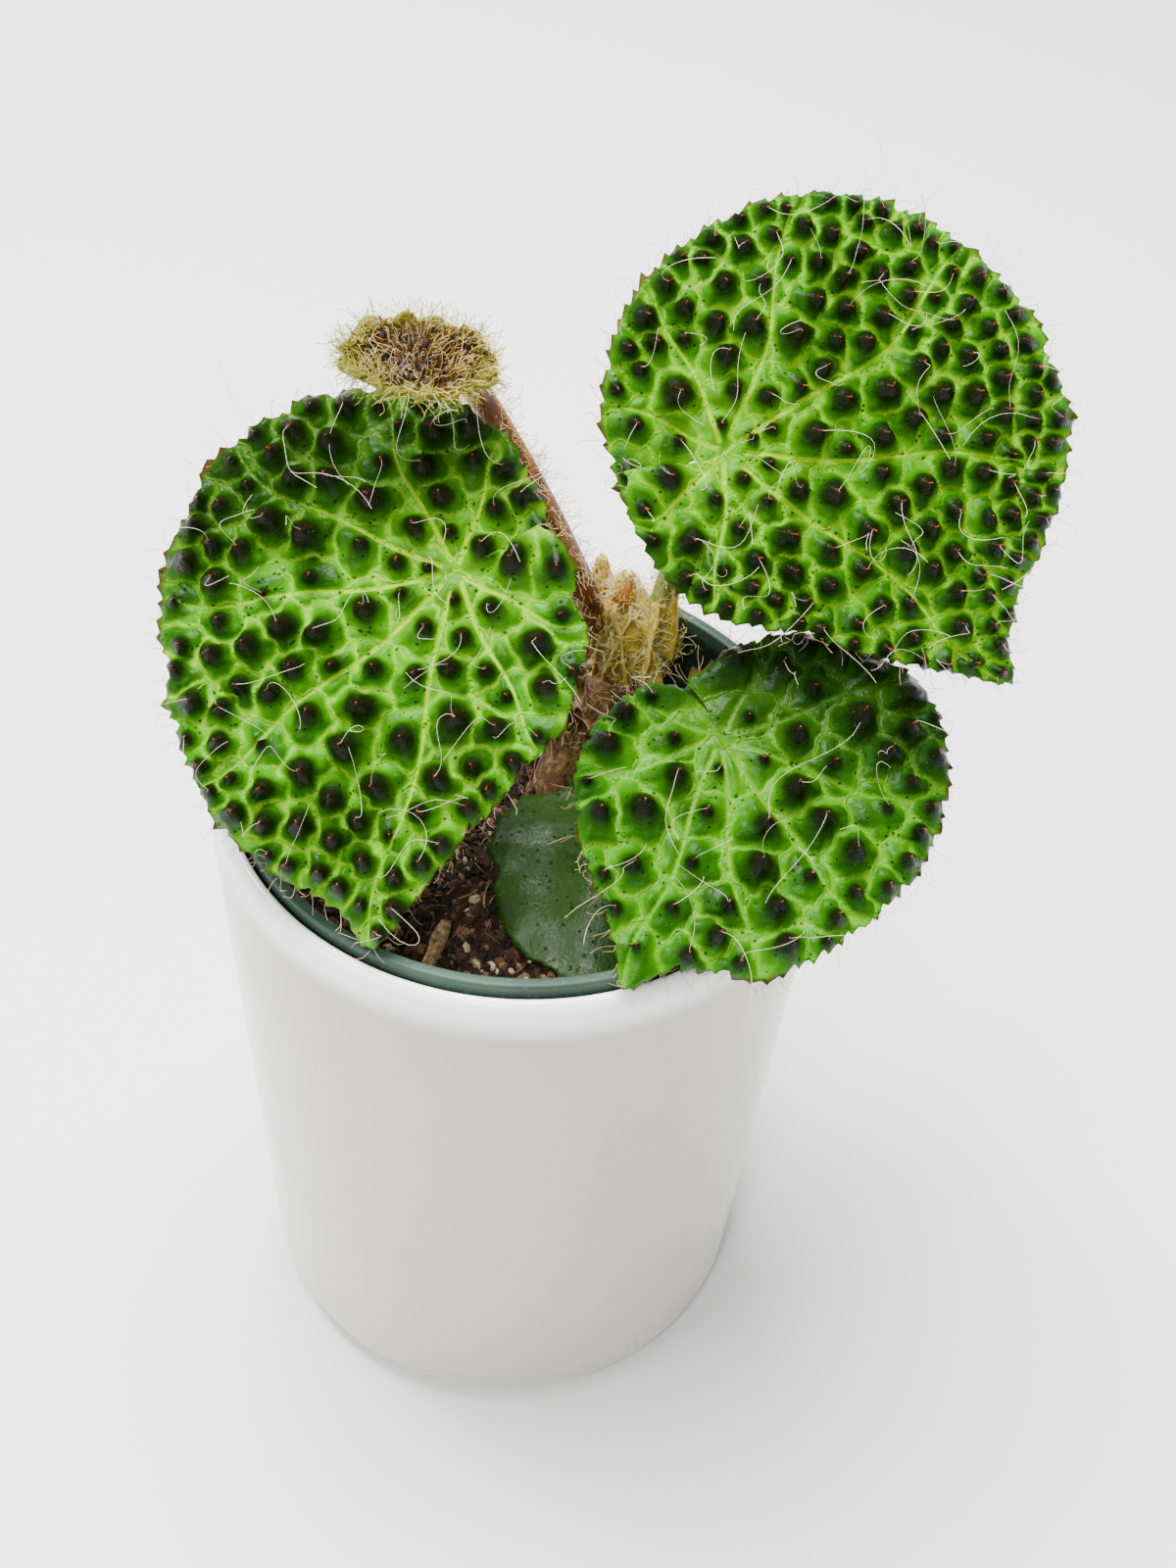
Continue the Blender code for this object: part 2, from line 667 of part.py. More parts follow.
def rhizome(mat, collection, repeats_parent):
    """The creeping stem between soil and crown, with dried brown stipules along it."""
    rng = random.Random(71)
    path = [millimetres(point) for point in RHIZOME_PATH]
    obj = tube("rhizome", path, RHIZOME_RADIUS, mat, collection)
    repeats = new_collection("dried scales", repeats_parent)
    for index in range(DRIED_STIPULES):
        along = 0.36 + 0.42 * index / (DRIED_STIPULES - 1)
        start, end = path[1], path[3]
        centre = start.lerp(end, along) + Vector((0.0, 0.0, 0.8 * MM))
        axis = (end - start).normalized().to_track_quat("Z", "Y").to_matrix().to_4x4()
        turn = Matrix.Rotation(index * 2.3 + rng.uniform(-0.3, 0.3), 4, "Z")
        lean = Matrix.Rotation(math.radians(rng.uniform(14.0, 34.0)), 4, "X")
        shift = Matrix.Translation(Vector((0.0, -RHIZOME_RADIUS + 1.0 * MM, -2.0 * MM)))
        papery_scale(
            "scale", DRIED_LENGTH * rng.uniform(0.8, 1.1), DRIED_WIDTH, -1.2 * MM,
            STIPULE_THICKNESS, Matrix.Translation(centre) @ axis @ turn @ shift @ lean, repeats,
        )
    join_repeats(obj, repeats)
    return obj


def egg(name, centre, radii, mat, collection):
    """A small egg-shaped body."""
    bm = bmesh.new()
    bmesh.ops.create_uvsphere(bm, u_segments=10, v_segments=8, radius=1.0)
    for vert in bm.verts:
        taper = 1.0 - 0.35 * max(0.0, vert.co.z)
        vert.co = Vector((
            vert.co.x * radii[0] * taper, vert.co.y * radii[1] * taper, vert.co.z * radii[2],
        )) * MM
    obj = add_object(name, mesh_from_bmesh(name, bm), collection, mat)
    obj.location = millimetres(centre)
    obj.rotation_euler = (math.radians(-8.0), math.radians(16.0), 0.0)
    return obj


def soil_height(x, y):
    """Height of the potting mix: low mounds, level where the bark chip lies."""
    chip = math.hypot(x - BARK_CENTRE[0] * MM, y - BARK_CENTRE[1] * MM)
    level = min(1.0, max(0.0, (chip - 8.0 * MM) / (7.0 * MM)))
    bump = noise.noise(Vector((x / (13.0 * MM), y / (13.0 * MM), SOIL_SEED)))
    fine = noise.noise(Vector((x / (5.0 * MM), y / (5.0 * MM), SOIL_SEED + 7.0)))
    away = math.hypot(x - STEM_DIMPLE_CENTRE[0] * MM, y - STEM_DIMPLE_CENTRE[1] * MM)
    dimple = STEM_DIMPLE_DEPTH * math.exp(-(away / STEM_DIMPLE_WIDTH) ** 2)
    return SOIL_TOP + level * SOIL_BUMP * (bump + 0.6 * fine) - dimple


def nursery_inner_radius(height):
    """Inner radius of the nursery pot's wall at a height."""
    foot = NURSERY_FOOT_RADIUS - NURSERY_WALL
    top = NURSERY_RIM_RADIUS - 2.6 * MM
    share = (height - COVER_FLOOR) / (NURSERY_TOP - NURSERY_RIM_BAND - COVER_FLOOR)
    return foot + (top - foot) * share


def potting_mix(mat, collection):
    """The potting mix: a disc of mounds above, drawn in to the nursery pot's floor below."""
    bm = bmesh.new()
    bmesh.ops.create_grid(bm, x_segments=SOIL_CELLS, y_segments=SOIL_CELLS, size=1.0)
    top_radius = nursery_inner_radius(SOIL_TOP) - CLEARANCE - 0.5 * MM
    floor = COVER_FLOOR + CLEARANCE + NURSERY_WALL + CLEARANCE
    floor_radius = nursery_inner_radius(floor) - CLEARANCE - 0.5 * MM
    for vert in bm.verts:
        a, b = vert.co.x, vert.co.y
        x = top_radius * a * math.sqrt(1.0 - 0.5 * b * b)
        y = top_radius * b * math.sqrt(1.0 - 0.5 * a * a)
        vert.co = Vector((x, y, soil_height(x, y)))
    border = [edge for edge in bm.edges if edge.is_boundary]
    drawn = bmesh.ops.extrude_edge_only(bm, edges=border)["geom"]
    shrink = floor_radius / top_radius
    for vert in (item for item in drawn if isinstance(item, bmesh.types.BMVert)):
        vert.co = Vector((vert.co.x * shrink, vert.co.y * shrink, floor))
    lower = [item for item in drawn if isinstance(item, bmesh.types.BMEdge)]
    bmesh.ops.holes_fill(bm, edges=lower, sides=0)
    bmesh.ops.triangulate(bm, faces=[face for face in bm.faces if len(face.verts) == 4])
    bmesh.ops.recalc_face_normals(bm, faces=bm.faces)
    return add_object("soil", mesh_from_bmesh("soil", bm), collection, mat)


def cover_pot(mat, collection):
    """The glazed cover pot."""
    rim, foot, top = COVER_RIM_RADIUS, COVER_FOOT_RADIUS, COVER_HEIGHT
    profile = (
        (0.0, COVER_FLOOR),
        (foot - COVER_WALL - 3.5 * MM, COVER_FLOOR),
        (foot - COVER_WALL + 0.5 * MM, COVER_FLOOR + 4.0 * MM),
        (rim - COVER_WALL, top - 3.6 * MM),
        (rim - COVER_WALL + 0.7 * MM, top - 0.9 * MM),
        (rim - 2.3 * MM, top),
        (rim - 0.7 * MM, top - 0.7 * MM),
        (rim, top - 2.4 * MM),
        (foot + 0.8 * MM, 12.0 * MM),
        (foot - 0.6 * MM, 5.0 * MM),
        (foot - 4.0 * MM, 1.3 * MM),
        (foot - 8.5 * MM, 0.0),
        (0.0, 0.0),
    )
    return turned("cover_pot", profile, COVER_STEPS, mat, collection)


def nursery_pot(mat, collection, cutters):
    """The moulded nursery pot that holds the plant, with drain holes through its floor."""
    rim, foot, top = NURSERY_RIM_RADIUS, NURSERY_FOOT_RADIUS, NURSERY_TOP
    base = COVER_FLOOR + CLEARANCE
    profile = (
        (0.0, base + NURSERY_WALL),
        (foot - NURSERY_WALL, base + NURSERY_WALL),
        (rim - 2.6 * MM, top - NURSERY_RIM_BAND),
        (rim - 2.2 * MM, top),
        (rim - 0.2 * MM, top),
        (rim, top - 0.6 * MM),
        (rim, top - NURSERY_RIM_BAND + 0.8 * MM),
        (rim - 1.3 * MM, top - NURSERY_RIM_BAND),
        (foot, base),
        (0.0, base),
    )
    obj = turned("nursery_pot", profile, NURSERY_STEPS, mat, collection)
    for index in range(DRAIN_HOLES):
        turn = math.tau * index / DRAIN_HOLES
        bm = bmesh.new()
        bmesh.ops.create_cone(
            bm, cap_ends=True, segments=10, radius1=DRAIN_HOLE_RADIUS,
            radius2=DRAIN_HOLE_RADIUS, depth=6.0 * MM,
        )
        name = "drain_hole_%d" % index
        hole = as_cutter(add_object(name, mesh_from_bmesh(name, bm), cutters))
        hole.location = (
            DRAIN_CIRCLE_RADIUS * math.cos(turn), DRAIN_CIRCLE_RADIUS * math.sin(turn), base,
        )
        subtract(obj, hole)
    return obj


def bark_chip(mat, collection):
    """A splinter of bark lying on the level spot of the potting mix."""
    bm = bmesh.new()
    bmesh.ops.create_cube(bm, size=1.0)
    bmesh.ops.subdivide_edges(
        bm, edges=[e for e in bm.edges if abs(e.verts[0].co.y - e.verts[1].co.y) > 0.5], cuts=2,
    )
    for vert in bm.verts:
        narrow = 1.0 - 0.5 * abs(vert.co.y) + 0.12 * math.sin(9.0 * vert.co.y)
        ragged = 1.0 - 0.35 * abs(vert.co.y) if vert.co.z > 0.0 else 1.0
        vert.co = Vector((
            vert.co.x * BARK_SIZE[0] * narrow, vert.co.y * BARK_SIZE[1],
            vert.co.z * BARK_SIZE[2] * ragged,
        ))
    obj = add_object("bark_chip", mesh_from_bmesh("bark_chip", bm), collection, mat)
    obj.location = (
        BARK_CENTRE[0] * MM, BARK_CENTRE[1] * MM,
        BARK_SIZE[2] * 0.5 + CLEARANCE + max(
            soil_height(BARK_CENTRE[0] * MM + dx * MM, BARK_CENTRE[1] * MM + dy * MM)
            for dx in (-6, 0, 6) for dy in (-6, 0, 6)
        ),
    )
    obj.rotation_euler = (0.0, 0.0, BARK_HEADING)
    return obj


def petiole(name, points, leaf, thickness, radius, mat, collection, grow=0.0):
    """A leaf stalk from its foot to just under the blade's hub, which it meets square on."""
    path = [millimetres(point) for point in points]
    frame = leaf_frame(leaf)
    normal = frame.to_3x3() @ Vector((0.0, 0.0, 1.0))
    end = frame.translation - normal * (thickness + CLEARANCE + 0.15 * MM)
    path.append(end - normal * 6.0 * MM)
    path.append(end)
    return tube(name, path, radius + grow, mat, collection)


def main():
    clear_scene()
    scene = bpy.context.scene
    scene.unit_settings.system = "METRIC"
    parts = new_collection("potted begonia", scene.collection)
    cutters = new_collection("cutters", scene.collection)

    glaze = surface("white glazed ceramic", (0.80, 0.79, 0.77), 0.28)
    plastic = surface("grey green nursery plastic", (0.055, 0.105, 0.075), 0.45)
    peat = surface("dark potting mix", (0.030, 0.018, 0.012), 0.95)
    bright = surface("bright green bullate blade", (0.085, 0.300, 0.020), 0.30)
    deep = surface("shaded green bullate blade", (0.050, 0.190, 0.022), 0.30)
    olive = surface("dark smooth juvenile blade", (0.030, 0.090, 0.025), 0.28)
    woolly = surface("hairy young blade", (0.450, 0.330, 0.140), 0.80)
    stalk = surface("pale green stalk", (0.200, 0.260, 0.070), 0.50)
    russet = surface("red brown hairy stalk", (0.260, 0.085, 0.035), 0.55)
    golden = surface("golden papery stipule", (0.420, 0.320, 0.080), 0.70)
    dried = surface("dried brown stipule", (0.190, 0.105, 0.045), 0.85)
    orange = surface("orange leaf bud", (0.560, 0.200, 0.050), 0.50)
    bark = surface("tan bark", (0.330, 0.230, 0.120), 0.90)

    cover_pot(glaze, parts)
    nursery_pot(plastic, parts, cutters)
    soil = potting_mix(peat, parts)

    bullate_blade("leaf_left", LEFT_LEAF, bright, parts)
    bullate_blade("leaf_right", RIGHT_LEAF, bright, parts)
    bullate_blade("leaf_front", FRONT_LEAF, deep, parts)
    smooth_blade("leaf_juvenile", JUVENILE_LEAF, olive, parts)
    young_leaf(woolly, parts, cutters)

    stalks = (
        ("petiole_left", LEFT_PETIOLE, LEFT_LEAF, BLADE_THICKNESS, PETIOLE_RADIUS, soil),
        ("petiole_front", FRONT_PETIOLE, FRONT_LEAF, BLADE_THICKNESS, PETIOLE_RADIUS, soil),
        (
            "petiole_juvenile", JUVENILE_PETIOLE, JUVENILE_LEAF, JUVENILE_THICKNESS,
            SLIM_PETIOLE_RADIUS, soil,
        ),
    )
    for name, points, leaf, thickness, radius, ground in stalks:
        petiole(name, points, leaf, thickness, radius, stalk, parts)
        foot = (points[0][0], points[0][1], points[0][2] - CLEARANCE / MM)
        hole = petiole(
            name + "_hole", (foot,) + points[1:], leaf, thickness, radius, None, cutters,
            1.3 * CLEARANCE,
        )
        subtract(ground, as_cutter(hole))

    stem = rhizome(dried, parts, cutters)
    wrap = crown(golden, parts, cutters)
    petiole("petiole_right", RIGHT_PETIOLE, RIGHT_LEAF, BLADE_THICKNESS, PETIOLE_RADIUS,
            stalk, parts)
    young_path = [millimetres(point) for point in YOUNG_PETIOLE]
    tube("petiole_young", young_path, PETIOLE_RADIUS, russet, parts)
    egg("leaf_bud", BUD_CENTRE, BUD_RADII, orange, parts)

    right_hole = petiole("petiole_right_hole", RIGHT_PETIOLE, RIGHT_LEAF, BLADE_THICKNESS,
                         PETIOLE_RADIUS, None, cutters, CLEARANCE)
    young_hole = tube("petiole_young_hole", young_path, PETIOLE_RADIUS + CLEARANCE, None, cutters)
    rhizome_path = [millimetres(point) for point in RHIZOME_PATH]
    rhizome_hole = tube("rhizome_hole", rhizome_path, RHIZOME_RADIUS + CLEARANCE, None, cutters)
    bud_hole = egg("leaf_bud_hole", BUD_CENTRE, [radius + 0.4 for radius in BUD_RADII],
                   None, cutters)
    for cutter in (right_hole, young_hole, rhizome_hole, bud_hole):
        subtract(wrap, as_cutter(cutter), "MANIFOLD")
    subtract(soil, rhizome_hole)

    bark_chip(bark, parts)
    for obj in parts.objects:
        obj.data.shade_smooth()
        obj.data.set_sharp_from_angle(angle=math.radians(35.0))


main()
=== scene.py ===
"""Looks for a potted bullate begonia: fine blades, hairs, papery stipules, mix and glazed pot.

Metres, +Z up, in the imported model's frame. Every leaf is drawn in its own flat frame, with
the vein hub at the origin, +Y along the midrib to the tip and +Z on its upper side.
"""

import math
import random

import bmesh
import bpy
import numpy as np
from bpy.props import FloatProperty, FloatVectorProperty, IntProperty, PointerProperty
from mathutils import Matrix, Vector, noise
from mathutils.geometry import delaunay_2d_cdt


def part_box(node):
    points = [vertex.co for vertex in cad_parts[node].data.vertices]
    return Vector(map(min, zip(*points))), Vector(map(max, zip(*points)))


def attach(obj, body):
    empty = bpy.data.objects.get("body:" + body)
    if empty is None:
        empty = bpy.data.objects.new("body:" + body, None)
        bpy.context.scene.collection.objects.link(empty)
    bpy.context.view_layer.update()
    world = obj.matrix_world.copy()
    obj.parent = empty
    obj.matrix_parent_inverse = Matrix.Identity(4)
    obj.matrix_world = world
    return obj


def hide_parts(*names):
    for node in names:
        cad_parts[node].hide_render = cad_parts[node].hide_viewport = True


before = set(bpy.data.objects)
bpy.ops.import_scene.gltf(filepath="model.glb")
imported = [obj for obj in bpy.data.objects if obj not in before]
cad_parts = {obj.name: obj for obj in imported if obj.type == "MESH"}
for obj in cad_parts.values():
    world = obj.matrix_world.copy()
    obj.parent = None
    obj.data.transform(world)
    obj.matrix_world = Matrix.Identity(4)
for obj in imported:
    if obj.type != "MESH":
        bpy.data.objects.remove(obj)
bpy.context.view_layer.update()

bl_info = {
    "name": "Potted Bullate Begonia",
    "version": (1, 0, 0),
    "blender": (4, 5, 0),
    "location": "3D View > Sidebar > Begonia",
    "description": "Builds a cone-leaved begonia in a nursery pot inside a glazed cover pot",
    "category": "Object",
}

MM = 0.001
BODY = "root"

# The photograph's viewpoint
CAMERA_PLACE = (0.0, -0.29770, 0.45378)
CAMERA_AIM = (0.02938, 0.69396, -0.71941)
CAMERA_UP = (-0.04534, 0.71990, 0.69258)
CAMERA_LENS = 50.917
CAMERA_SENSOR = 36.0

# Outlines of the blades: degrees clockwise from the tip, millimetres from the vein hub
LEFT_OUTLINE = (
    (0, 69), (6, 63), (15, 62), (30, 61), (60, 55), (90, 51), (120, 44), (150, 35),
    (180, 27), (210, 20), (240, 17.5), (270, 22), (300, 30), (330, 38), (346, 47), (354, 57),
)
RIGHT_OUTLINE = (
    (0, 70), (5, 59), (15, 46), (30, 35), (60, 28.5), (90, 23), (120, 19), (150, 21),
    (180, 26), (210, 33.5), (240, 45), (270, 56.5), (300, 65), (316, 66), (345, 61), (355, 63),
)
FRONT_OUTLINE = (
    (0, 51), (6, 43), (15, 38), (30, 33), (60, 26), (90, 19), (120, 12), (150, 12.5),
    (180, 20), (210, 32), (240, 42), (270, 43), (300, 43), (330, 45), (345, 43.5), (354, 45),
)
JUVENILE_OUTLINE = (
    (0, 29), (30, 24), (60, 22.5), (90, 18), (120, 15), (180, 15), (240, 15.5),
    (270, 18.5), (300, 27.5), (330, 30.5),
)

# Each blade's hub in millimetres, the slant of its face, its tip's direction and its veins
LEFT_LEAF = {
    "hub": (-13.2, -1.7, 199.0), "slope": 38.0, "side": -6.0, "tip": (-0.18, -0.76, -0.62),
    "outline": LEFT_OUTLINE, "sinus": 236.0, "veins": (0, 34, 66, 98, 138, 186, 290, 326),
    "seed": 11, "over": 1.0, "cones": 0.95, "spread": 1.08,
}
RIGHT_LEAF = {
    "hub": (33.1, 20.4, 211.0), "slope": 44.0, "side": 6.0, "tip": (0.82, -0.34, -0.45),
    "outline": RIGHT_OUTLINE, "sinus": 124.0, "veins": (0, 52, 92, 166, 212, 256, 292, 326),
    "seed": 23, "over": -1.0, "cones": 0.95, "spread": 0.96,
}
FRONT_LEAF = {
    "hub": (35.2, -13.9, 173.5), "slope": 25.5, "side": 5.0, "tip": (-0.32, -0.86, -0.40),
    "outline": FRONT_OUTLINE, "sinus": 132.0, "veins": (0, 44, 84, 190, 232, 272, 308, 336),
    "seed": 37, "over": 1.0, "cones": 0.82, "spread": 1.30,
}
JUVENILE_LEAF = {
    "hub": (17.5, -11.5, 144.0), "slope": 12.0, "side": -4.0, "tip": (-0.64, -0.74, -0.20),
    "outline": JUVENILE_OUTLINE, "sinus": 150.0, "veins": (0, 50, 100, 200, 255, 300, 330),
    "seed": 41, "over": 1.0,
}

# Layout of the bullae on each blade, and the large form that they stand on. Cells are kept
# closer after the loose tries, and the margin's wobble dies away within CALM_TIP degrees.
CELL_SPACING_MIDDLE = 6.7 * MM
CELL_SPACING_EDGE = 4.0 * MM
CELL_TRIES = 16000
CELL_TRIES_LOOSE = 8000
CLOSER_CELLS = 0.82
LARGEST_CELL = 4.8 * MM
HUB_CLEARANCE = 4.6 * MM
VEIN_CLEARANCE = 2.2 * MM
VEIN_TAPER = 13.0 * MM
MARGIN_CLEARANCE = 2.0 * MM
NOTCH_CLEARANCE = 2.2 * MM
NET_INSET = 0.9 * MM
VEIN_STEPS = 16
CONE_RING = 0.09
HUB_FLAT = 4.0 * MM
HUB_GLOW = 24.0 * MM
MARGIN_EASE = 0.3 * MM
NET_WANDER = 0.5 * MM
NOTCH_START = 5.0 * MM
NOTCH_HALF_ANGLE = math.radians(1.4)
LOBE_TURN = math.radians(8.0)
LOBE_LIFT = 1.9 * MM
LOBE_SPREAD = math.radians(42.0)
DROOP = 3.0 * MM
DROOP_AT = 60.0 * MM
MARGIN_WAVE = 1.2 * MM
MARGIN_WOBBLE = 1.9 * MM
MARGIN_GRAIN = 4.5 * MM
CALM_TIP = 15.0
TOOTH_PITCH = 2.9 * MM
FRINGE_START = 9.0 * MM
HAIR_SINK = 0.15 * MM

# Stalks, in millimetres along their centre lines
LEFT_PETIOLE = ((-1.0, 23.0, 121.0), (-1.0, 23.0, 136.0), (-5.0, 17.5, 165.0))
RIGHT_PETIOLE = ((25.0, 35.5, 158.0), (27.0, 35.0, 170.0), (30.5, 32.5, 188.0))
FRONT_PETIOLE = ((24.5, 13.0, 121.0), (24.5, 12.5, 136.0), (29.5, 2.0, 154.0))
JUVENILE_PETIOLE = ((14.5, 3.0, 122.0), (14.5, 2.0, 132.5))
YOUNG_PETIOLE = (
    (14.0, 33.5, 152.0), (11.5, 31.0, 165.0), (7.2, 28.4, 178.0), (-1.2, 26.4, 198.0),
    (-8.2, 27.2, 211.0), (-12.2, 25.0, 220.0), (-14.0, 20.4, 226.2), (-15.0, 17.4, 228.7),
)
RHIZOME_PATH = ((5.0, 11.0, 120.0), (6.5, 13.5, 131.0), (10.0, 19.5, 139.0), (14.8, 27.6, 146.2))
CROWN_CENTRE = (19.8, 35.0, 152.5)
CROWN_RADII = (7.4, 6.4, 8.6)
BUD_CENTRE = (18.4, 34.4, 163.6)
YOUNG_CENTRE = (-21.0, 17.2, 229.0)
BARK_CENTRE = (-14.5, -32.0)
STEM_DIMPLE_CENTRE = (9.5, 18.5)
SOIL_TOP = 132.0 * MM
SOIL_SEED = 4


def linear(code):
    """An sRGB hex colour as the linear values that Blender's sockets take."""
    values = []
    for start in (1, 3, 5):
        share = int(code[start:start + 2], 16) / 255.0
        low = share / 12.92
        high = ((share + 0.055) / 1.055) ** 2.4
        values.append(low if share <= 0.04045 else high)
    return (*values, 1.0)


def add_node(tree, kind, inputs=None, **settings):
    """Add a node: settings are its properties, inputs are sockets to link or values to set."""
    made = tree.nodes.new(kind)
    for key, value in settings.items():
        setattr(made, key, value)
    for key, value in (inputs or {}).items():
        if isinstance(value, bpy.types.NodeSocket):
            tree.links.new(value, made.inputs[key])
        else:
            made.inputs[key].default_value = value
    return made


def ramp(tree, value, *stops):
    """A colour ramp from positions to sRGB hex colours."""
    made = add_node(tree, "ShaderNodeValToRGB", {"Fac": value})
    elements = made.color_ramp.elements
    elements[0].position, elements[0].color = stops[0][0], linear(stops[0][1])
    elements[1].position, elements[1].color = stops[-1][0], linear(stops[-1][1])
    for position, code in stops[1:-1]:
        elements.new(position).color = linear(code)
    return made.outputs["Color"]


def blend(tree, share, body, code):
    """Lay an sRGB hex colour over a body colour by a share."""
    inputs = {0: share, 6: body, 7: linear(code)}
    return add_node(tree, "ShaderNodeMix", inputs, data_type="RGBA").outputs[2]


def span(tree, value, low, high, to_low=0.0, to_high=1.0):
    """Map a value from one range to another, held at its ends."""
    made = add_node(tree, "ShaderNodeMapRange", {
        "Value": value, "From Min": low, "From Max": high, "To Min": to_low, "To Max": to_high,
    }, interpolation_type="SMOOTHSTEP")
    return made.outputs["Result"]


def arithmetic(tree, operation, first, second):
    """One step of arithmetic on two values."""
    return add_node(tree, "ShaderNodeMath", {0: first, 1: second}, operation=operation).outputs[0]


def vector_math(tree, operation, first, second):
    """One step of arithmetic on a vector and another, or the number that scales it."""
    inputs = {0: first, "Scale" if operation == "SCALE" else 1: second}
    return add_node(tree, "ShaderNodeVectorMath", inputs, operation=operation).outputs[0]


def grain(tree, place, scale, detail=3.0, roughness=0.55):
    """Noise of a given number of grains per metre."""
    made = add_node(tree, "ShaderNodeTexNoise", {
        "Vector": place, "Scale": scale, "Detail": detail, "Roughness": roughness,
    })
    return made.outputs["Fac"]


def object_place(tree, squash=1.0):
    """The surface's place on the object in metres, with its height squashed where asked."""
    place = add_node(tree, "ShaderNodeTexCoord").outputs["Object"]
    if squash == 1.0:
        return place
    inputs = {"Vector": place, "Scale": (1.0, 1.0, squash)}
    return add_node(tree, "ShaderNodeMapping", inputs).outputs["Vector"]


def attribute(tree, name):
    """A number that the mesh carries at its points."""
    return add_node(tree, "ShaderNodeAttribute", attribute_name=name).outputs["Fac"]


def new_material(name, **sockets):
    """A Principled material; the names of its sockets are written with underscores."""
    mat = bpy.data.materials.new(name)
    mat.use_nodes = True
    shader = mat.node_tree.nodes["Principled BSDF"]
    for key, value in sockets.items():
        shader.inputs[key.replace("_", " ")].default_value = value
    return mat, mat.node_tree, shader


def finish_material(made, body, rough=None, relief=None):
    """Link a colour, a roughness (noise, low, high) and a relief (height, distance, strength)."""
    mat, tree, shader = made
    tree.links.new(body, shader.inputs["Base Color"])
    if rough:
        tree.links.new(span(tree, rough[0], 0.3, 0.7, *rough[1:]), shader.inputs["Roughness"])
    if relief:
        height, distance, strength = (*relief, 1.0)[:3]
        bump = add_node(tree, "ShaderNodeBump", {
            "Height": height, "Distance": distance, "Strength": strength,
        })
        tree.links.new(bump.outputs["Normal"], shader.inputs["Normal"])
    return mat


def add_piece(name, mesh, mats, node=None):
    """Link a finished mesh at the origin, ride it on the plant and let it stand for a node."""
    piece = linked(name, mesh)
    mesh.materials.clear()
    for mat in mats:
        mesh.materials.append(mat)
    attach(piece, BODY)
    if node:
        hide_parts(node)
    return piece


def linked(name, data):
    """Make an object and link it to the scene."""
    obj = bpy.data.objects.new(name, data)
    bpy.context.scene.collection.objects.link(obj)
    return obj


def taken_mesh(obj):
    """The evaluated shape of a working object as a plain mesh; the object is removed."""
    depsgraph = bpy.context.evaluated_depsgraph_get()
    mesh = bpy.data.meshes.new_from_object(obj.evaluated_get(depsgraph))
    bpy.data.objects.remove(obj, do_unlink=True)
    return mesh


def mesh_of(name, bm, smooth=False):
    """Write a bmesh to a new mesh."""
    mesh = bpy.data.meshes.new(name)
    bm.to_mesh(mesh)
    bm.free()
    if smooth:
        mesh.shade_smooth()
    return mesh


def solidified(obj, thickness, offset, **settings):
    """The mesh of a working sheet that has been given a thickness."""
    solid = obj.modifiers.new("Solidify", "SOLIDIFY")
    solid.thickness = thickness
    solid.offset = offset
    for key, value in settings.items():
        setattr(solid, key, value)
    return taken_mesh(obj)


def store(mesh, name, values, kind="FLOAT"):
    """Store a number or a vector at each point of a mesh."""
    layer = mesh.attributes.new(name, kind, "POINT")
    layer.data.foreach_set("vector" if kind == "FLOAT_VECTOR" else "value", values)


def metres(point):
    """A point given in millimetres, in metres."""
    return Vector(point) * MM


def raised_by(height):
    """A vector straight up."""
    return Vector((0.0, 0.0, height))


def rotation(degrees, axis):
    """A turn about an axis."""
    return Matrix.Rotation(math.radians(degrees), 4, axis)


def length_setting(name, description, default, **limits):
    """A length in metres for a property group."""
    return FloatProperty(
        name=name, description=description, default=default, unit="LENGTH", **limits
    )


def number_setting(name, description, default, **limits):
    """A number for a property group, never below zero."""
    return FloatProperty(name=name, description=description, default=default, min=0.0, **limits)


def count_setting(name, description, default, least=0):
    """A count for a property group."""
    return IntProperty(name=name, description=description, default=default, min=least)


# Leaf geometry


def leaf_frame(leaf):
    """The matrix that takes a leaf's flat frame to its place on the plant."""
    slope = math.radians(leaf["slope"])
    side = math.radians(leaf["side"])
    normal = Vector((
        math.sin(side), -math.sin(slope) * math.cos(side), math.cos(slope) * math.cos(side)
    )).normalized()
    tip = Vector(leaf["tip"])
    tip = (tip - normal * tip.dot(normal)).normalized()
    matrix = Matrix((tip.cross(normal), tip, normal)).transposed().to_4x4()
    matrix.translation = metres(leaf["hub"])
    return matrix


def outline_reach(outline, degrees):
    """The blade's reach in metres at angles from its tip, eased between the control points."""
    angles = [angle for angle, radius in outline] + [360.0]
    radii = [radius for angle, radius in outline] + [outline[0][1]]
    total = 0.0
    for offset, weight in ((-1.5, 1.0), (0.0, 2.0), (1.5, 1.0)):
        total = total + weight * np.interp(np.mod(degrees + offset, 360.0), angles, radii)
    return total / 4.0 * MM


def polar(degrees, radius):
    """A point of the flat frame at an angle clockwise from the tip."""
    angle = math.radians(degrees)
    return Vector((math.sin(angle) * radius, math.cos(angle) * radius))


def rows(points):
    """Vectors as the rows of an array."""
    return np.array([tuple(point) for point in points])


def degrees_of(points):
    """Angles of flat points, clockwise from the tip."""
    return np.degrees(np.arctan2(points[..., 0], points[..., 1])) % 360.0


def degrees_of_point(point):
    """The angle of one flat point, clockwise from the tip."""
    return math.degrees(math.atan2(point.x, point.y)) % 360.0


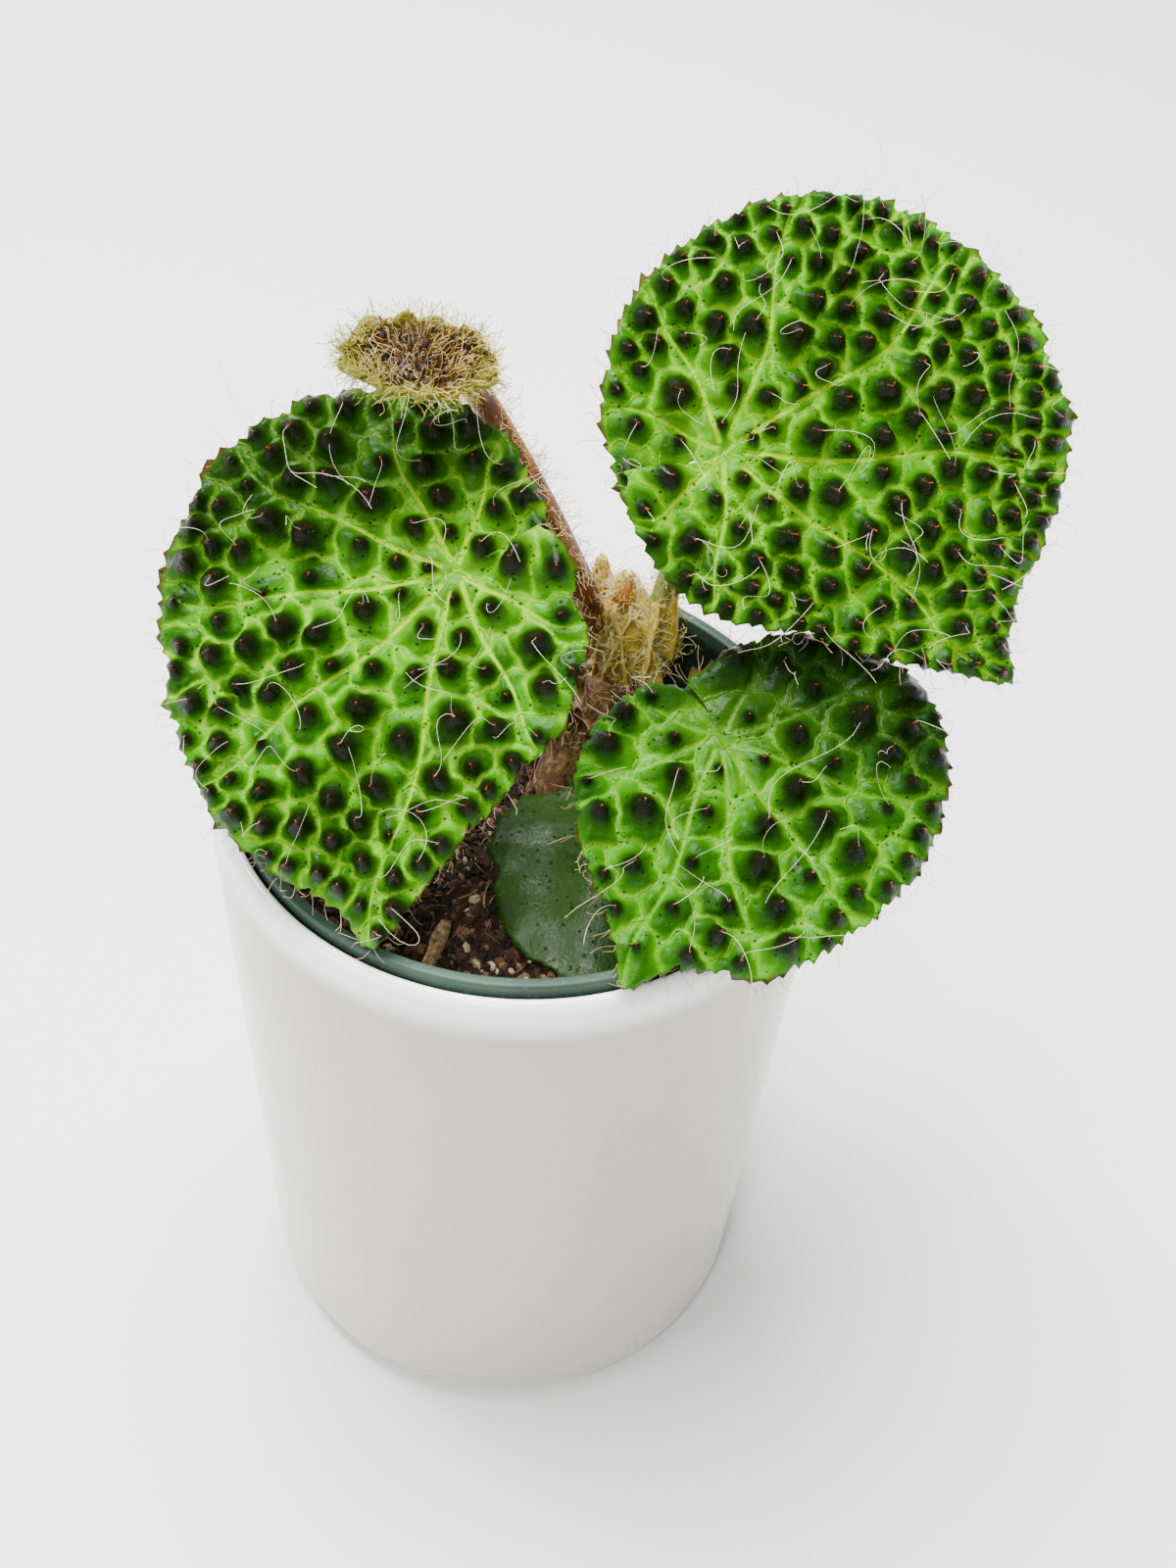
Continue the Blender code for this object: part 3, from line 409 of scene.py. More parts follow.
def vein_lines(leaf):
    """The main veins, which leave the hub and curve gently on their way to the margin."""
    lines = []
    for angle in leaf["veins"]:
        bend = 9.0 * math.sin(math.radians(angle))
        line = []
        for step in range(1, VEIN_STEPS + 1):
            share = step / VEIN_STEPS
            turn = angle + bend * share * share + 2.0 * math.sin(9.0 * share + angle)
            reach = float(outline_reach(leaf["outline"], turn)) - 1.0 * MM
            line.append(polar(turn, reach * share))
        lines.append(line)
    return lines


def scatter_cells(leaf, veins):
    """Centres of the bullae, drawn at random and kept apart from each other and the veins."""
    rng = random.Random(leaf["seed"])
    outline = leaf["outline"]
    reach = max(radius for angle, radius in outline) * MM
    notch = [polar(leaf["sinus"], NOTCH_START + step * 2.0 * MM) for step in range(20)]
    cells = []
    for attempt in range(CELL_TRIES):
        closer = 1.0 if attempt < CELL_TRIES_LOOSE else CLOSER_CELLS
        point = Vector((rng.uniform(-reach, reach), rng.uniform(-reach, reach)))
        edge = float(outline_reach(outline, degrees_of_point(point)))
        if point.length < HUB_CLEARANCE or point.length > edge - MARGIN_CLEARANCE:
            continue
        middle = math.sin(math.pi * min(1.0, point.length / edge)) ** 0.9
        close = VEIN_CLEARANCE * min(1.0, point.length / VEIN_TAPER)
        if point.length > 0.6 * edge:
            close = 0.5 * VEIN_CLEARANCE
        spacing = CELL_SPACING_EDGE + (CELL_SPACING_MIDDLE - CELL_SPACING_EDGE) * middle
        spacing *= leaf["spread"]
        if any((point - other).length < closer * spacing for other in cells):
            continue
        if any((point - vein).length < close for vein in veins):
            continue
        if any((point - slit).length < NOTCH_CLEARANCE for slit in notch):
            continue
        cells.append(point)
    return cells


def cell_radii(cells, veins, outline):
    """Half the room that each bulla has to its nearest neighbour, vein or margin."""
    radii = []
    for cell in cells:
        room = min((cell - other).length for other in cells if other is not cell) * 0.5
        vein = min((cell - point).length for point in veins)
        edge = float(outline_reach(outline, degrees_of_point(cell))) - cell.length
        radii.append(min(room * 1.25, max(vein, 2.0 * MM), max(edge, 2.0 * MM), LARGEST_CELL))
    return radii


def margin_line(leaf, pitch, tooth_pitch, tooth_depth, notch=True):
    """The blade's margin at a fine pitch: small uneven teeth, and the sinus as a narrow slit."""
    rng = random.Random(leaf["seed"] + 500)
    outline = leaf["outline"]
    gap = math.degrees(NOTCH_HALF_ANGLE) if notch else 0.0
    start = leaf["sinus"]
    points = []
    degrees = start + gap
    along = 0.0
    depth = tooth_depth
    tooth_at = 0.0
    while degrees < start + 360.0 - gap - 0.3:
        radius = float(outline_reach(outline, degrees))
        if along >= tooth_at + tooth_pitch:
            tooth_at = along
            depth = tooth_depth * rng.uniform(0.35, 1.2)
        climb = (along - tooth_at) / tooth_pitch
        wobble = noise.noise(Vector((*polar(degrees, radius), 0.01 * leaf["seed"])) / MARGIN_GRAIN)
        calm = min(1.0, abs((degrees + 180.0) % 360.0 - 180.0) / CALM_TIP)
        tooth = depth * (climb ** 1.6 - 0.45) + MARGIN_WOBBLE * wobble * calm
        points.append(polar(degrees, radius + tooth))
        ahead = float(outline_reach(outline, degrees + 1.0))
        slant = abs(ahead - radius) / math.radians(1.0)
        degrees += math.degrees(pitch / math.hypot(radius, slant))
        along += pitch
    if notch:
        reach = float(outline_reach(outline, start))
        steps = max(3, round((reach - NOTCH_START) / (2.0 * pitch)))
        for step in range(steps + 1):
            radius = reach + (NOTCH_START - reach) * step / steps
            points.append(polar(start - gap, radius))
        for step in range(steps, 0, -1):
            radius = reach + (NOTCH_START - reach) * step / steps
            points.append(polar(start + gap, radius))
    return points


def segment_distance(points, start, end):
    """Distance of many flat points to one straight stretch."""
    along = end - start
    share = np.clip(((points - start) @ along) / max(along @ along, 1e-12), 0.0, 1.0)
    return np.linalg.norm(points - (start + share[:, None] * along), axis=1)


def vein_distance(points, lines):
    """Distance of many flat points to the nearest main vein."""
    best = np.full(len(points), 1.0)
    for line in lines:
        for start, end in zip(line, line[1:]):
            best = np.minimum(best, segment_distance(points, np.array(start), np.array(end)))
    return best


def two_nearest(points, centres):
    """Distances to the two nearest centres and the index of the nearest."""
    first = np.full(len(points), 1.0)
    second = np.full(len(points), 1.0)
    which = np.zeros(len(points), dtype=int)
    for index, centre in enumerate(centres):
        away = np.linalg.norm(points - np.array(centre), axis=1)
        nearer = away < first
        second = np.where(nearer, first, np.minimum(second, away))
        which = np.where(nearer, index, which)
        first = np.where(nearer, away, first)
    return first, second, which


def wandered(points):
    """Flat points moved along a slow ripple, so that the net between cells runs in curves."""
    x, y = points[:, 0] / MM, points[:, 1] / MM
    across = np.sin(1.05 * y + 1.3 * np.sin(0.43 * x)) + 0.5 * np.sin(2.3 * x + 0.8 * y)
    along = np.sin(0.97 * x + 1.7 * np.sin(0.51 * y)) + 0.5 * np.sin(2.1 * y - 0.9 * x)
    return points + NET_WANDER * np.stack([across, along], axis=1)


def unwandered(points):
    """Flat points that the ripple takes to the given places."""
    start = points
    for step in range(6):
        start = start + 0.7 * (points - wandered(start))
    return start


def net_points(cells, pitch):
    """Points along the edges between neighbouring cells, where the sunk net runs."""
    flat = delaunay_2d_cdt(cells, [], [], 0, 1e-7)
    centres = []
    shared = {}
    for index, face in enumerate(flat[2]):
        a, b, c = [flat[0][corner] for corner in face]
        turn = 2.0 * (a.x * (b.y - c.y) + b.x * (c.y - a.y) + c.x * (a.y - b.y))
        x = (a.dot(a) * (b.y - c.y) + b.dot(b) * (c.y - a.y) + c.dot(c) * (a.y - b.y)) / turn
        y = (a.dot(a) * (c.x - b.x) + b.dot(b) * (a.x - c.x) + c.dot(c) * (b.x - a.x)) / turn
        centres.append(Vector((x, y)))
        for first, second in ((0, 1), (1, 2), (2, 0)):
            key = tuple(sorted((face[first], face[second])))
            shared.setdefault(key, []).append(index)
    points = []
    for faces in shared.values():
        if len(faces) == 2:
            start, end = centres[faces[0]], centres[faces[1]]
            length = (end - start).length
            if length < 25.0 * MM:
                steps = max(1, int(length / pitch))
                points += [start.lerp(end, step / steps) for step in range(steps + 1)]
    return points


def lobes(points, leaf):
    """How far points lie in the lobes beside the sinus: side, nearness to it, way out."""
    turn = np.radians((degrees_of(points) - leaf["sinus"]) % 360.0)
    side = np.where(turn > math.pi, -1.0, 1.0)
    turn = np.where(turn > math.pi, math.tau - turn, turn)
    near = np.clip(1.0 - turn / LOBE_SPREAD, 0.0, 1.0)
    out = np.clip((np.linalg.norm(points, axis=1) - NOTCH_START) / (8.0 * MM), 0.0, 1.0)
    return side, near * near * (3.0 - 2.0 * near), out * out * (3.0 - 2.0 * out)


def raised(points, height, leaf):
    """Flat points and their heights, domed and with one lobe turned over the other."""
    side, near, out = lobes(points, leaf)
    turn = -side * LOBE_TURN * near * out
    reach = np.linalg.norm(points, axis=1)
    angle = np.radians(degrees_of(points))
    share = np.minimum(1.0, reach / outline_reach(leaf["outline"], degrees_of(points)))
    height = height + side * leaf["over"] * LOBE_LIFT * near * out
    height = height + MARGIN_WAVE * np.sin(5.0 * angle + leaf["seed"]) * share ** 4
    height = height - DROOP * (reach / DROOP_AT) ** 2
    x = points[:, 0] * np.cos(turn) + points[:, 1] * np.sin(turn)
    y = points[:, 1] * np.cos(turn) - points[:, 0] * np.sin(turn)
    return np.stack([x, y, height], axis=1)


def hex_grid(outline, pitch, inset):
    """Points of a regular triangular grid that lie inside a blade."""
    reach = max(radius for angle, radius in outline) * MM
    row = np.arange(int(2.0 * reach / (pitch * 0.866)) + 1)[:, None]
    columns = int(2.0 * reach / pitch)
    x = -reach + pitch * (np.arange(columns + 1)[None, :] + 0.5 * (row % 2))
    y = np.broadcast_to(-reach + pitch * 0.866 * row, x.shape)
    grid = np.stack([x.ravel(), y.ravel()], axis=1)
    keep = np.linalg.norm(grid, axis=1) < outline_reach(outline, degrees_of(grid)) - inset
    return grid[keep]


def clear_of(points, others, gap):
    """Points that lie at least a gap from all others, sorted through a coarse grid of bins."""
    bins = {}
    for x, y in others:
        bins.setdefault((int(x // gap), int(y // gap)), []).append((x, y))
    kept = []
    for x, y in points:
        column, row = int(x // gap), int(y // gap)
        close = any(
            (x - a) ** 2 + (y - b) ** 2 < gap * gap
            for i in (-1, 0, 1) for j in (-1, 0, 1)
            for a, b in bins.get((column + i, row + j), ())
        )
        if not close:
            kept.append((x, y))
    return kept


def blade_mesh(name, leaf, margin, points, fields):
    """Triangulate a blade, raise it by its fields, and store what its materials read."""
    loop = list(range(len(margin)))
    flat = delaunay_2d_cdt([*margin, *[Vector(p) for p in points]], [], [loop], 1, 1e-8)
    place = rows(flat[0])
    height, stored = fields(place)
    solid = raised(place, height, leaf)
    faces = [face for face in flat[2] if len(set(face)) == 3]
    mesh = bpy.data.meshes.new(name)
    mesh.from_pydata(solid.tolist(), [], faces)
    for key, values in stored.items():
        store(mesh, key, np.asarray(values, dtype=np.float32))
    mesh.update()
    if sum(face.normal.z for face in mesh.polygons) < 0.0:
        mesh.flip_normals()
    mesh.transform(leaf_frame(leaf))
    mesh.shade_smooth()
    return mesh


def thickened(name, mesh, thickness, mats, node):
    """Give a blade its thickness, with its own materials below and along its margin."""
    obj = linked(name + "_sheet", mesh)
    for mat in mats:
        mesh.materials.append(mat)
    mesh = solidified(obj, thickness, -1.0, material_offset=1, material_offset_rim=2)
    return add_piece(name, mesh, mats, node)


# Hairs and crumbs on points


def new_tree(name, ground, sizes, result):
    """A node group with named inputs; gives the group and what its input node offers."""
    tree = bpy.data.node_groups.new(name, "GeometryNodeTree")
    face = tree.interface
    face.new_socket(ground, in_out="INPUT", socket_type="NodeSocketGeometry")
    for key, kind, default in (*sizes, ("Seed", "Int", 1), ("Material", "Material", None)):
        socket = face.new_socket(key, in_out="INPUT", socket_type="NodeSocket" + kind)
        if default is not None:
            socket.default_value = default
    face.new_socket(result, in_out="OUTPUT", socket_type="NodeSocketGeometry")
    return tree, add_node(tree, "NodeGroupInput").outputs


def random_value(tree, low, high, seed):
    """A random number, or vector, for each point or instance."""
    kind, first = ("FLOAT_VECTOR", 0) if isinstance(low, tuple) else ("FLOAT", 2)
    inputs = {first: low, first + 1: high, "Seed": seed}
    return add_node(tree, "FunctionNodeRandomValue", inputs, data_type=kind).outputs[first // 2]


def named(tree, name, kind):
    """What each point carries under a name."""
    inputs = {"Name": name}
    node = add_node(tree, "GeometryNodeInputNamedAttribute", inputs, data_type=kind)
    return node.outputs["Attribute"]


def stirred(tree, inputs, dimensions="3D"):
    """Noise at each point's place, as a vector about zero."""
    place = add_node(tree, "GeometryNodeInputPosition").outputs["Position"]
    cloud = add_node(
        tree, "ShaderNodeTexNoise", {"Vector": place, **inputs}, noise_dimensions=dimensions
    ).outputs["Color"]
    return vector_math(tree, "SUBTRACT", cloud, (0.5, 0.5, 0.5))


def strewn(tree, points, lump, turn, size, name, value):
    """Copies of a shape on points, each carrying a number by a name, as real geometry."""
    placed = add_node(tree, "GeometryNodeInstanceOnPoints", {
        "Points": points, "Instance": lump, "Rotation": turn, "Scale": size,
    }).outputs["Instances"]
    marked = add_node(tree, "GeometryNodeStoreNamedAttribute", {
        "Geometry": placed, "Name": name, "Value": value,
    }, data_type="FLOAT", domain="INSTANCE").outputs["Geometry"]
    return add_node(tree, "GeometryNodeRealizeInstances", {"Geometry": marked}).outputs[0]


def moved(tree, geometry, offset):
    """Points moved by an offset."""
    inputs = {"Geometry": geometry, "Offset": offset}
    return add_node(tree, "GeometryNodeSetPosition", inputs).outputs["Geometry"]


def finish_tree(tree, geometry, source):
    """Set the material as a tree's last step."""
    inputs = {"Geometry": geometry, "Material": source["Material"]}
    finished = add_node(tree, "GeometryNodeSetMaterial", inputs).outputs["Geometry"]
    add_node(tree, "NodeGroupOutput", {0: finished})
    return tree


def hair_tree():
    """Geometry nodes that grow one curled, tapering hair on each point along its direction."""
    tree, source = new_tree("Curled hairs", "Roots", (
        ("Length", "Float", 0.008), ("Thickness", "Float", 0.0001), ("Curl", "Float", 0.5),
        ("Spread", "Float", 0.4), ("Curl Scale", "Float", 160.0), ("Steps", "Int", 8),
    ), "Hairs")
    seed = source["Seed"]
    stray = random_value(tree, (-1.0, -1.0, -1.0), (1.0, 1.0, 1.0), seed)
    stray = vector_math(tree, "SCALE", stray, source["Spread"])
    aim = vector_math(tree, "ADD", named(tree, "grow", "FLOAT_VECTOR"), stray)
    turn = add_node(
        tree, "FunctionNodeAlignRotationToVector", {"Vector": aim}, axis="Z"
    ).outputs["Rotation"]
    stretch = random_value(tree, 0.55, 1.2, seed)
    size = arithmetic(tree, "MULTIPLY", stretch, source["Length"])
    line = add_node(tree, "GeometryNodeCurvePrimitiveLine", {"End": (0.0, 0.0, 1.0)})
    strand = add_node(tree, "GeometryNodeResampleCurve", {
        "Curve": line.outputs["Curve"], "Count": source["Steps"],
    }).outputs["Curve"]
    own = random_value(tree, 0.0, 40.0, seed)
    curves = strewn(tree, source["Roots"], strand, turn, size, "strand", own)
    along = add_node(tree, "GeometryNodeSplineParameter").outputs["Factor"]
    wander = stirred(tree, {
        "W": named(tree, "strand", "FLOAT"), "Scale": source["Curl Scale"], "Detail": 0.0,
    }, "4D")
    bend = arithmetic(tree, "POWER", along, 1.4)
    for factor in (source["Curl"], source["Length"], 3.0):
        bend = arithmetic(tree, "MULTIPLY", bend, factor)
    curled = moved(tree, curves, vector_math(tree, "SCALE", wander, bend))
    taper = arithmetic(tree, "ADD", arithmetic(tree, "MULTIPLY", along, -0.7), 1.0)
    tapered = add_node(tree, "GeometryNodeSetCurveRadius", {
        "Curve": curled, "Radius": taper,
    }).outputs["Curve"]
    section = add_node(tree, "GeometryNodeCurvePrimitiveCircle", {
        "Resolution": 3, "Radius": source["Thickness"],
    }).outputs["Curve"]
    tubes = add_node(tree, "GeometryNodeCurveToMesh", {
        "Curve": tapered, "Profile Curve": section, "Fill Caps": True,
    }).outputs["Mesh"]
    return finish_tree(tree, tubes, source)


def crumb_tree():
    """Geometry nodes that strew rough crumbs over a surface."""
    tree, source = new_tree("Strewn crumbs", "Ground", (
        ("Density", "Float", 200000.0), ("Smallest", "Float", 0.0004),
        ("Largest", "Float", 0.0013), ("Flatness", "Float", 0.7),
    ), "Crumbs")
    seed = source["Seed"]
    spots = add_node(tree, "GeometryNodeDistributePointsOnFaces", {
        "Mesh": source["Ground"], "Density": source["Density"], "Seed": seed,
    }).outputs["Points"]
    lump = add_node(tree, "GeometryNodeMeshIcoSphere", {"Radius": 1.0, "Subdivisions": 1})
    lump = moved(tree, lump.outputs["Mesh"], stirred(tree, {"Scale": 1.3, "Detail": 1.0}))
    turn = random_value(tree, (0.0, 0.0, 0.0), (6.3, 6.3, 6.3), seed)
    size = random_value(tree, source["Smallest"], source["Largest"], seed)
    flat = arithmetic(tree, "MULTIPLY", size, source["Flatness"])
    long = arithmetic(tree, "MULTIPLY", size, 1.5)
    scale = add_node(tree, "ShaderNodeCombineXYZ", {"X": long, "Y": size, "Z": flat}).outputs[0]
    crumbs = strewn(tree, spots, lump, turn, scale, "tint", random_value(tree, 0.0, 1.0, 9))
    return finish_tree(tree, crumbs, source)


def node_result(name, mesh, tree, settings):
    """Run a node tree on a mesh with its named inputs set, and take the plain result."""
    obj = linked(name + "_source", mesh)
    modifier = obj.modifiers.new("Nodes", "NODES")
    modifier.node_group = tree
    for item in tree.interface.items_tree:
        if item.in_out == "INPUT" and item.name in settings:
            modifier[item.identifier] = settings[item.name]
    return taken_mesh(obj)


def hairs(name, roots, directions, mat, seed, **sizes):
    """Grow hairs from points along their directions, as one plain mesh piece."""
    mesh = bpy.data.meshes.new(name)
    mesh.from_pydata([tuple(root) for root in roots], [], [])
    store(mesh, "grow", np.array([tuple(d) for d in directions]).ravel(), "FLOAT_VECTOR")
    settings = {key.replace("_", " "): value for key, value in sizes.items()}
    settings.update(Seed=seed, Material=mat)
    tree = bpy.data.node_groups.get("Curled hairs") or hair_tree()
    return add_piece(name, node_result(name, mesh, tree, settings), [mat])


# Materials


def leaf_upper(name, look, shade, gloss=0.13):
    """Living leaf cuticle, waxy and glossy: wet-looking highlights over a clear green body, with
    painted shade over the side of the blade that lies in shade.
    """
    made = new_material(name, IOR=1.42, Specular_IOR_Level=gloss)
    tree = made[1]
    place = object_place(tree)
    mottle = grain(tree, place, 420.0)
    cone, flank, net = (attribute(tree, key) for key in ("cone", "flank", "net"))
    ragged = arithmetic(tree, "ADD", cone, span(tree, mottle, 0.3, 0.7, -0.04, 0.04))
    body = ramp(tree, grain(tree, place, 70.0, 2.0),
                (0.30, look["deep"]), (0.50, look["middle"]), (0.72, look["light"]))
    layers = (
        (mottle, 0.42, 0.72, 0.35, look["light"]),
        (attribute(tree, "hub"), 0.0, 1.0, 0.55, look["hub"]),
        # Lime near the net and deep green down the flanks: partly the leaf's own colour, partly
        # painted light in the valleys and painted shade on the flanks
        (flank, 0.24, 0.50, 0.75, look["deep"]),
        (flank, 0.24, 0.03, 0.75, look["valley"]),
        (net, 0.34, 0.06, 0.60, look["vein"]),
        (attribute(tree, "vein"), 0.62, 0.20, 0.85, look["rib"]),
        # Painted shade: the blade darkens towards its shade colour along one side
        (attribute(tree, "painted_shade_share"), 0.0, 1.0, 0.78, look["far"]),
        (ragged, 0.02, 0.48, 0.95, look["cone"]),
        (cone, 0.45, 0.80, 0.7, "#140A04"),
        (cone, 0.95, 0.99, 1.0, "#8E3418"),
        (attribute(tree, "rim"), 0.55, 0.05, 0.8, "#3E2212"),
    )
    for value, low, high, share, code in layers:
        body = blend(tree, span(tree, value, low, high, 0.0, share), body, code)
    pits = add_node(tree, "ShaderNodeTexVoronoi", {
        "Vector": place, "Scale": 640.0, "Randomness": 1.0,
    }, feature="F1").outputs["Distance"]
    sparse = span(tree, grain(tree, place, 260.0, 1.0), 0.48, 0.54)
    pit = arithmetic(tree, "MULTIPLY", span(tree, pits, 0.24, 0.13), sparse)
    body = blend(tree, arithmetic(tree, "MULTIPLY", pit, 0.85), body, "#0C2406")
    wrinkle = arithmetic(tree, "MULTIPLY", grain(tree, place, 1500.0, 2.0), 0.35)
    height = arithmetic(tree, "SUBTRACT", wrinkle, pit)
    height = arithmetic(tree, "ADD", height, arithmetic(tree, "MULTIPLY", mottle, 1.2))
    height = arithmetic(tree, "ADD", height, span(tree, net, 0.40, 0.0, 0.0, 0.9))
    return finish_material(made, body, (grain(tree, place, 900.0, 2.0), shade, shade + 0.14),
                           (height, 0.00030, 0.9))


def leaf_under():
    """The leaf's unwaxed lower face: paler, soft and flushed red along the net."""
    made = new_material("Matte leaf underside", IOR=1.4)
    tree = made[1]
    place = object_place(tree)
    body = ramp(tree, grain(tree, place, 300.0), (0.3, "#5E7A3A"), (0.7, "#7F9A55"))
    body = blend(tree, span(tree, attribute(tree, "net"), 0.6, 0.1, 0.0, 0.6), body, "#6A3A1C")
    return finish_material(made, body, (grain(tree, place, 800.0), 0.5, 0.7),
                           (grain(tree, place, 700.0), 0.0002))


def grained(made, scale, detail, *stops):
    """Finish a plain material whose colour follows one even noise."""
    tree = made[1]
    return finish_material(made, ramp(tree, grain(tree, object_place(tree), scale, detail), *stops))


def leaf_margin():
    """The thickened leaf margin: dry, dark red-brown, slightly rough."""
    made = new_material("Dry red-brown leaf margin", Roughness=0.55)
    return grained(made, 500.0, 3.0, (0.35, "#2C1A10"), (0.65, "#5B2E1C"))


def hair_material(name, low, high):
    """Plant hair: fine, pale and dry, with a soft sheen."""
    made = new_material(name, Roughness=0.42, Specular_IOR_Level=0.4)
    return grained(made, 180.0, 1.0, (0.35, low), (0.65, high))


def studio_floor():
    """Matte painted studio floor, pale grey."""
    made = new_material("Matte pale grey paint", Roughness=0.9, Specular_IOR_Level=0.15)
    return grained(made, 6.0, 3.0, (0.3, "#FAFAFA"), (0.7, "#FBFBFB"))


def white_glaze():
    """Glazed stoneware: a smooth glassy coat over an even off-white body, painted white along the
    lip as a highlight.
    """
    made = new_material("Satin white ceramic glaze", IOR=1.5, Coat_Weight=0.6, Coat_Roughness=0.03)
    tree = made[1]
    place = object_place(tree)
    body = ramp(tree, grain(tree, place, 18.0, 2.0), (0.3, "#A6A39D"), (0.7, "#AEABA5"))
    height = add_node(tree, "ShaderNodeSeparateXYZ", {0: place}).outputs["Z"]
    # Painted highlight: the glaze turns white over the top of the lip
    body = blend(tree, span(tree, height, 0.140, 0.1465), body, "#FFFFFE")
    return finish_material(made, body, (grain(tree, place, 60.0), 0.24, 0.32),
                           (grain(tree, place, 45.0, 1.0), 0.00025, 0.5))


def nursery_plastic():
    """Injection-moulded polypropylene: grey-green, faintly grained, with a soft sheen, and painted
    shade below the rim's top face.
    """
    made = new_material("Moulded grey-green polypropylene", IOR=1.49, Specular_IOR_Level=0.2)
    tree = made[1]
    place = object_place(tree)
    body = ramp(tree, grain(tree, place, 40.0, 2.0), (0.3, "#2C4034"), (0.7, "#3A5144"))
    height = add_node(tree, "ShaderNodeSeparateXYZ", {0: place}).outputs["Z"]
    # Painted shade: all but the rim's top face is darkened, so only the top face keeps the lighter
    # green
    body = blend(tree, span(tree, height, 0.1492, 0.1470), body, "#16241C")
    dust = span(tree, grain(tree, place, 900.0), 0.60, 0.72, 0.0, 0.5)
    return finish_material(made, blend(tree, dust, body, "#586A5C"),
                           (grain(tree, place, 300.0), 0.34, 0.5),
                           (grain(tree, place, 1800.0, 2.0), 0.00008, 0.6))


def peat():
    """Moist peat and bark fines: nearly black, rough, with lighter fibres."""
    made = new_material("Moist fibrous peat", Specular_IOR_Level=0.3)
    tree = made[1]
    place = object_place(tree)
    body = ramp(tree, grain(tree, place, 420.0, 5.0, 0.7),
                (0.32, "#160D08"), (0.52, "#332016"), (0.66, "#583A28"), (0.78, "#94785A"))
    return finish_material(made, body, (grain(tree, place, 600.0), 0.6, 0.95),
                           (grain(tree, place, 900.0, 5.0, 0.7), 0.0009))


def crumb_material():
    """Bark fines and peat crumbs: dull browns, a few of them straw-coloured."""
    made = new_material("Bark and peat crumbs", Roughness=0.85)
    tree = made[1]
    body = ramp(tree, attribute(tree, "tint"), (0.0, "#140C07"), (0.45, "#332013"),
                (0.74, "#5A3C26"), (0.90, "#8E6C48"), (0.97, "#DCCBA6"))
    fleck = grain(tree, object_place(tree), 1400.0)
    body = blend(tree, span(tree, fleck, 0.3, 0.7, 0.0, 0.4), body, "#0F0906")
    return finish_material(made, body, None, (fleck, 0.0003))


def stalk_material(name, low, middle, high):
    """A fleshy leaf stalk: smooth and faintly ribbed, flushed along its length."""
    made = new_material(name, IOR=1.42, Coat_Weight=0.1, Coat_Roughness=0.3)
    streak = grain(made[1], object_place(made[1], 0.2), 520.0)
    body = ramp(made[1], streak, (0.34, low), (0.52, middle), (0.70, high))
    return finish_material(made, body, (streak, 0.35, 0.55), (streak, 0.0002))


def papery(name, low, middle, high, clear):
    """Dry papery stipule: thin, veined along its length and lit through."""
    made = new_material(name, Roughness=0.62, Subsurface_Weight=clear, Subsurface_Scale=0.001,
                        Sheen_Weight=0.15)
    fibre = grain(made[1], object_place(made[1], 0.25), 800.0, 4.0, 0.65)
    body = ramp(made[1], fibre, (0.32, low), (0.52, middle), (0.70, high))
    return finish_material(made, body, None, (fibre, 0.0004))


def young_skin():
    """Young downy leaf skin: dark red-brown, yellow-green at its ruffled edge."""
    made = new_material("Young downy leaf skin", Roughness=0.5)
    tree = made[1]
    place = object_place(tree)
    body = ramp(tree, grain(tree, place, 460.0), (0.36, "#120602"), (0.54, "#301404"),
                (0.68, "#663808"), (0.80, "#7C660C"))
    body = blend(tree, span(tree, attribute(tree, "across"), 0.62, 0.98), body, "#6A6A08")
    return finish_material(made, body, None, (grain(tree, place, 700.0), 0.0008))


# Each look's colour for the far side of a blade is painted shade, laid over the side that lies in
# shade.
BRIGHT_LOOK = {
    "deep": "#103000", "middle": "#245C00", "light": "#3E8200", "far": "#0B2400",
    "hub": "#569400", "valley": "#569E00", "vein": "#86B602", "rib": "#90B806", "cone": "#0A1402",
}
RIGHT_LOOK = {
    "deep": "#123400", "middle": "#225A00", "light": "#3A7C00", "far": "#0D2A00",
    "hub": "#569400", "valley": "#569E00", "vein": "#84B402", "rib": "#8CB406", "cone": "#0A1402",
}
# The lower front blade: the same cuticle colours made darker all over, as painted shade
SHADED_FRONT_LOOK = {
    "deep": "#143C00", "middle": "#1E5200", "light": "#306E02", "far": "#071603",
    "hub": "#3E6E08", "valley": "#488A00", "vein": "#64921C", "rib": "#56861A", "cone": "#081202",
}
JUVENILE_LOOK = {
    "deep": "#1E3C0A", "middle": "#2E5212", "light": "#4A702A", "far": "#14280F",
    "hub": "#3A5C1A", "valley": "#3A5C1A", "vein": "#44661E", "rib": "#44661E", "cone": "#10200C",
}


# Pots


def turned_mesh(name, profile, steps):
    """A turned body: a profile that starts and ends on the axis, swept once round it."""
    bm = bmesh.new()
    verts = [bm.verts.new((radius, 0.0, height)) for radius, height in profile]
    for start, end in zip(verts, verts[1:]):
        bm.edges.new((start, end))
    obj = linked(name + "_profile", mesh_of(name, bm))
    screw = obj.modifiers.new("Screw", "SCREW")
    screw.axis = "Z"
    screw.angle = math.tau
    screw.steps = steps
    screw.render_steps = steps
    screw.use_merge_vertices = True
    screw.merge_threshold = 0.00001
    mesh = taken_mesh(obj)
    mesh.shade_smooth()
    mesh.set_sharp_from_angle(angle=math.radians(50.0))
    return mesh


def arc(centre, radius, start, end, steps):
    """Points of a circular arc in a turned profile, from one angle to another in degrees."""
    points = []
    for step in range(steps + 1):
        angle = math.radians(start + (end - start) * step / steps)
        points.append((centre[0] + radius * math.cos(angle), centre[1] + radius * math.sin(angle)))
    return points


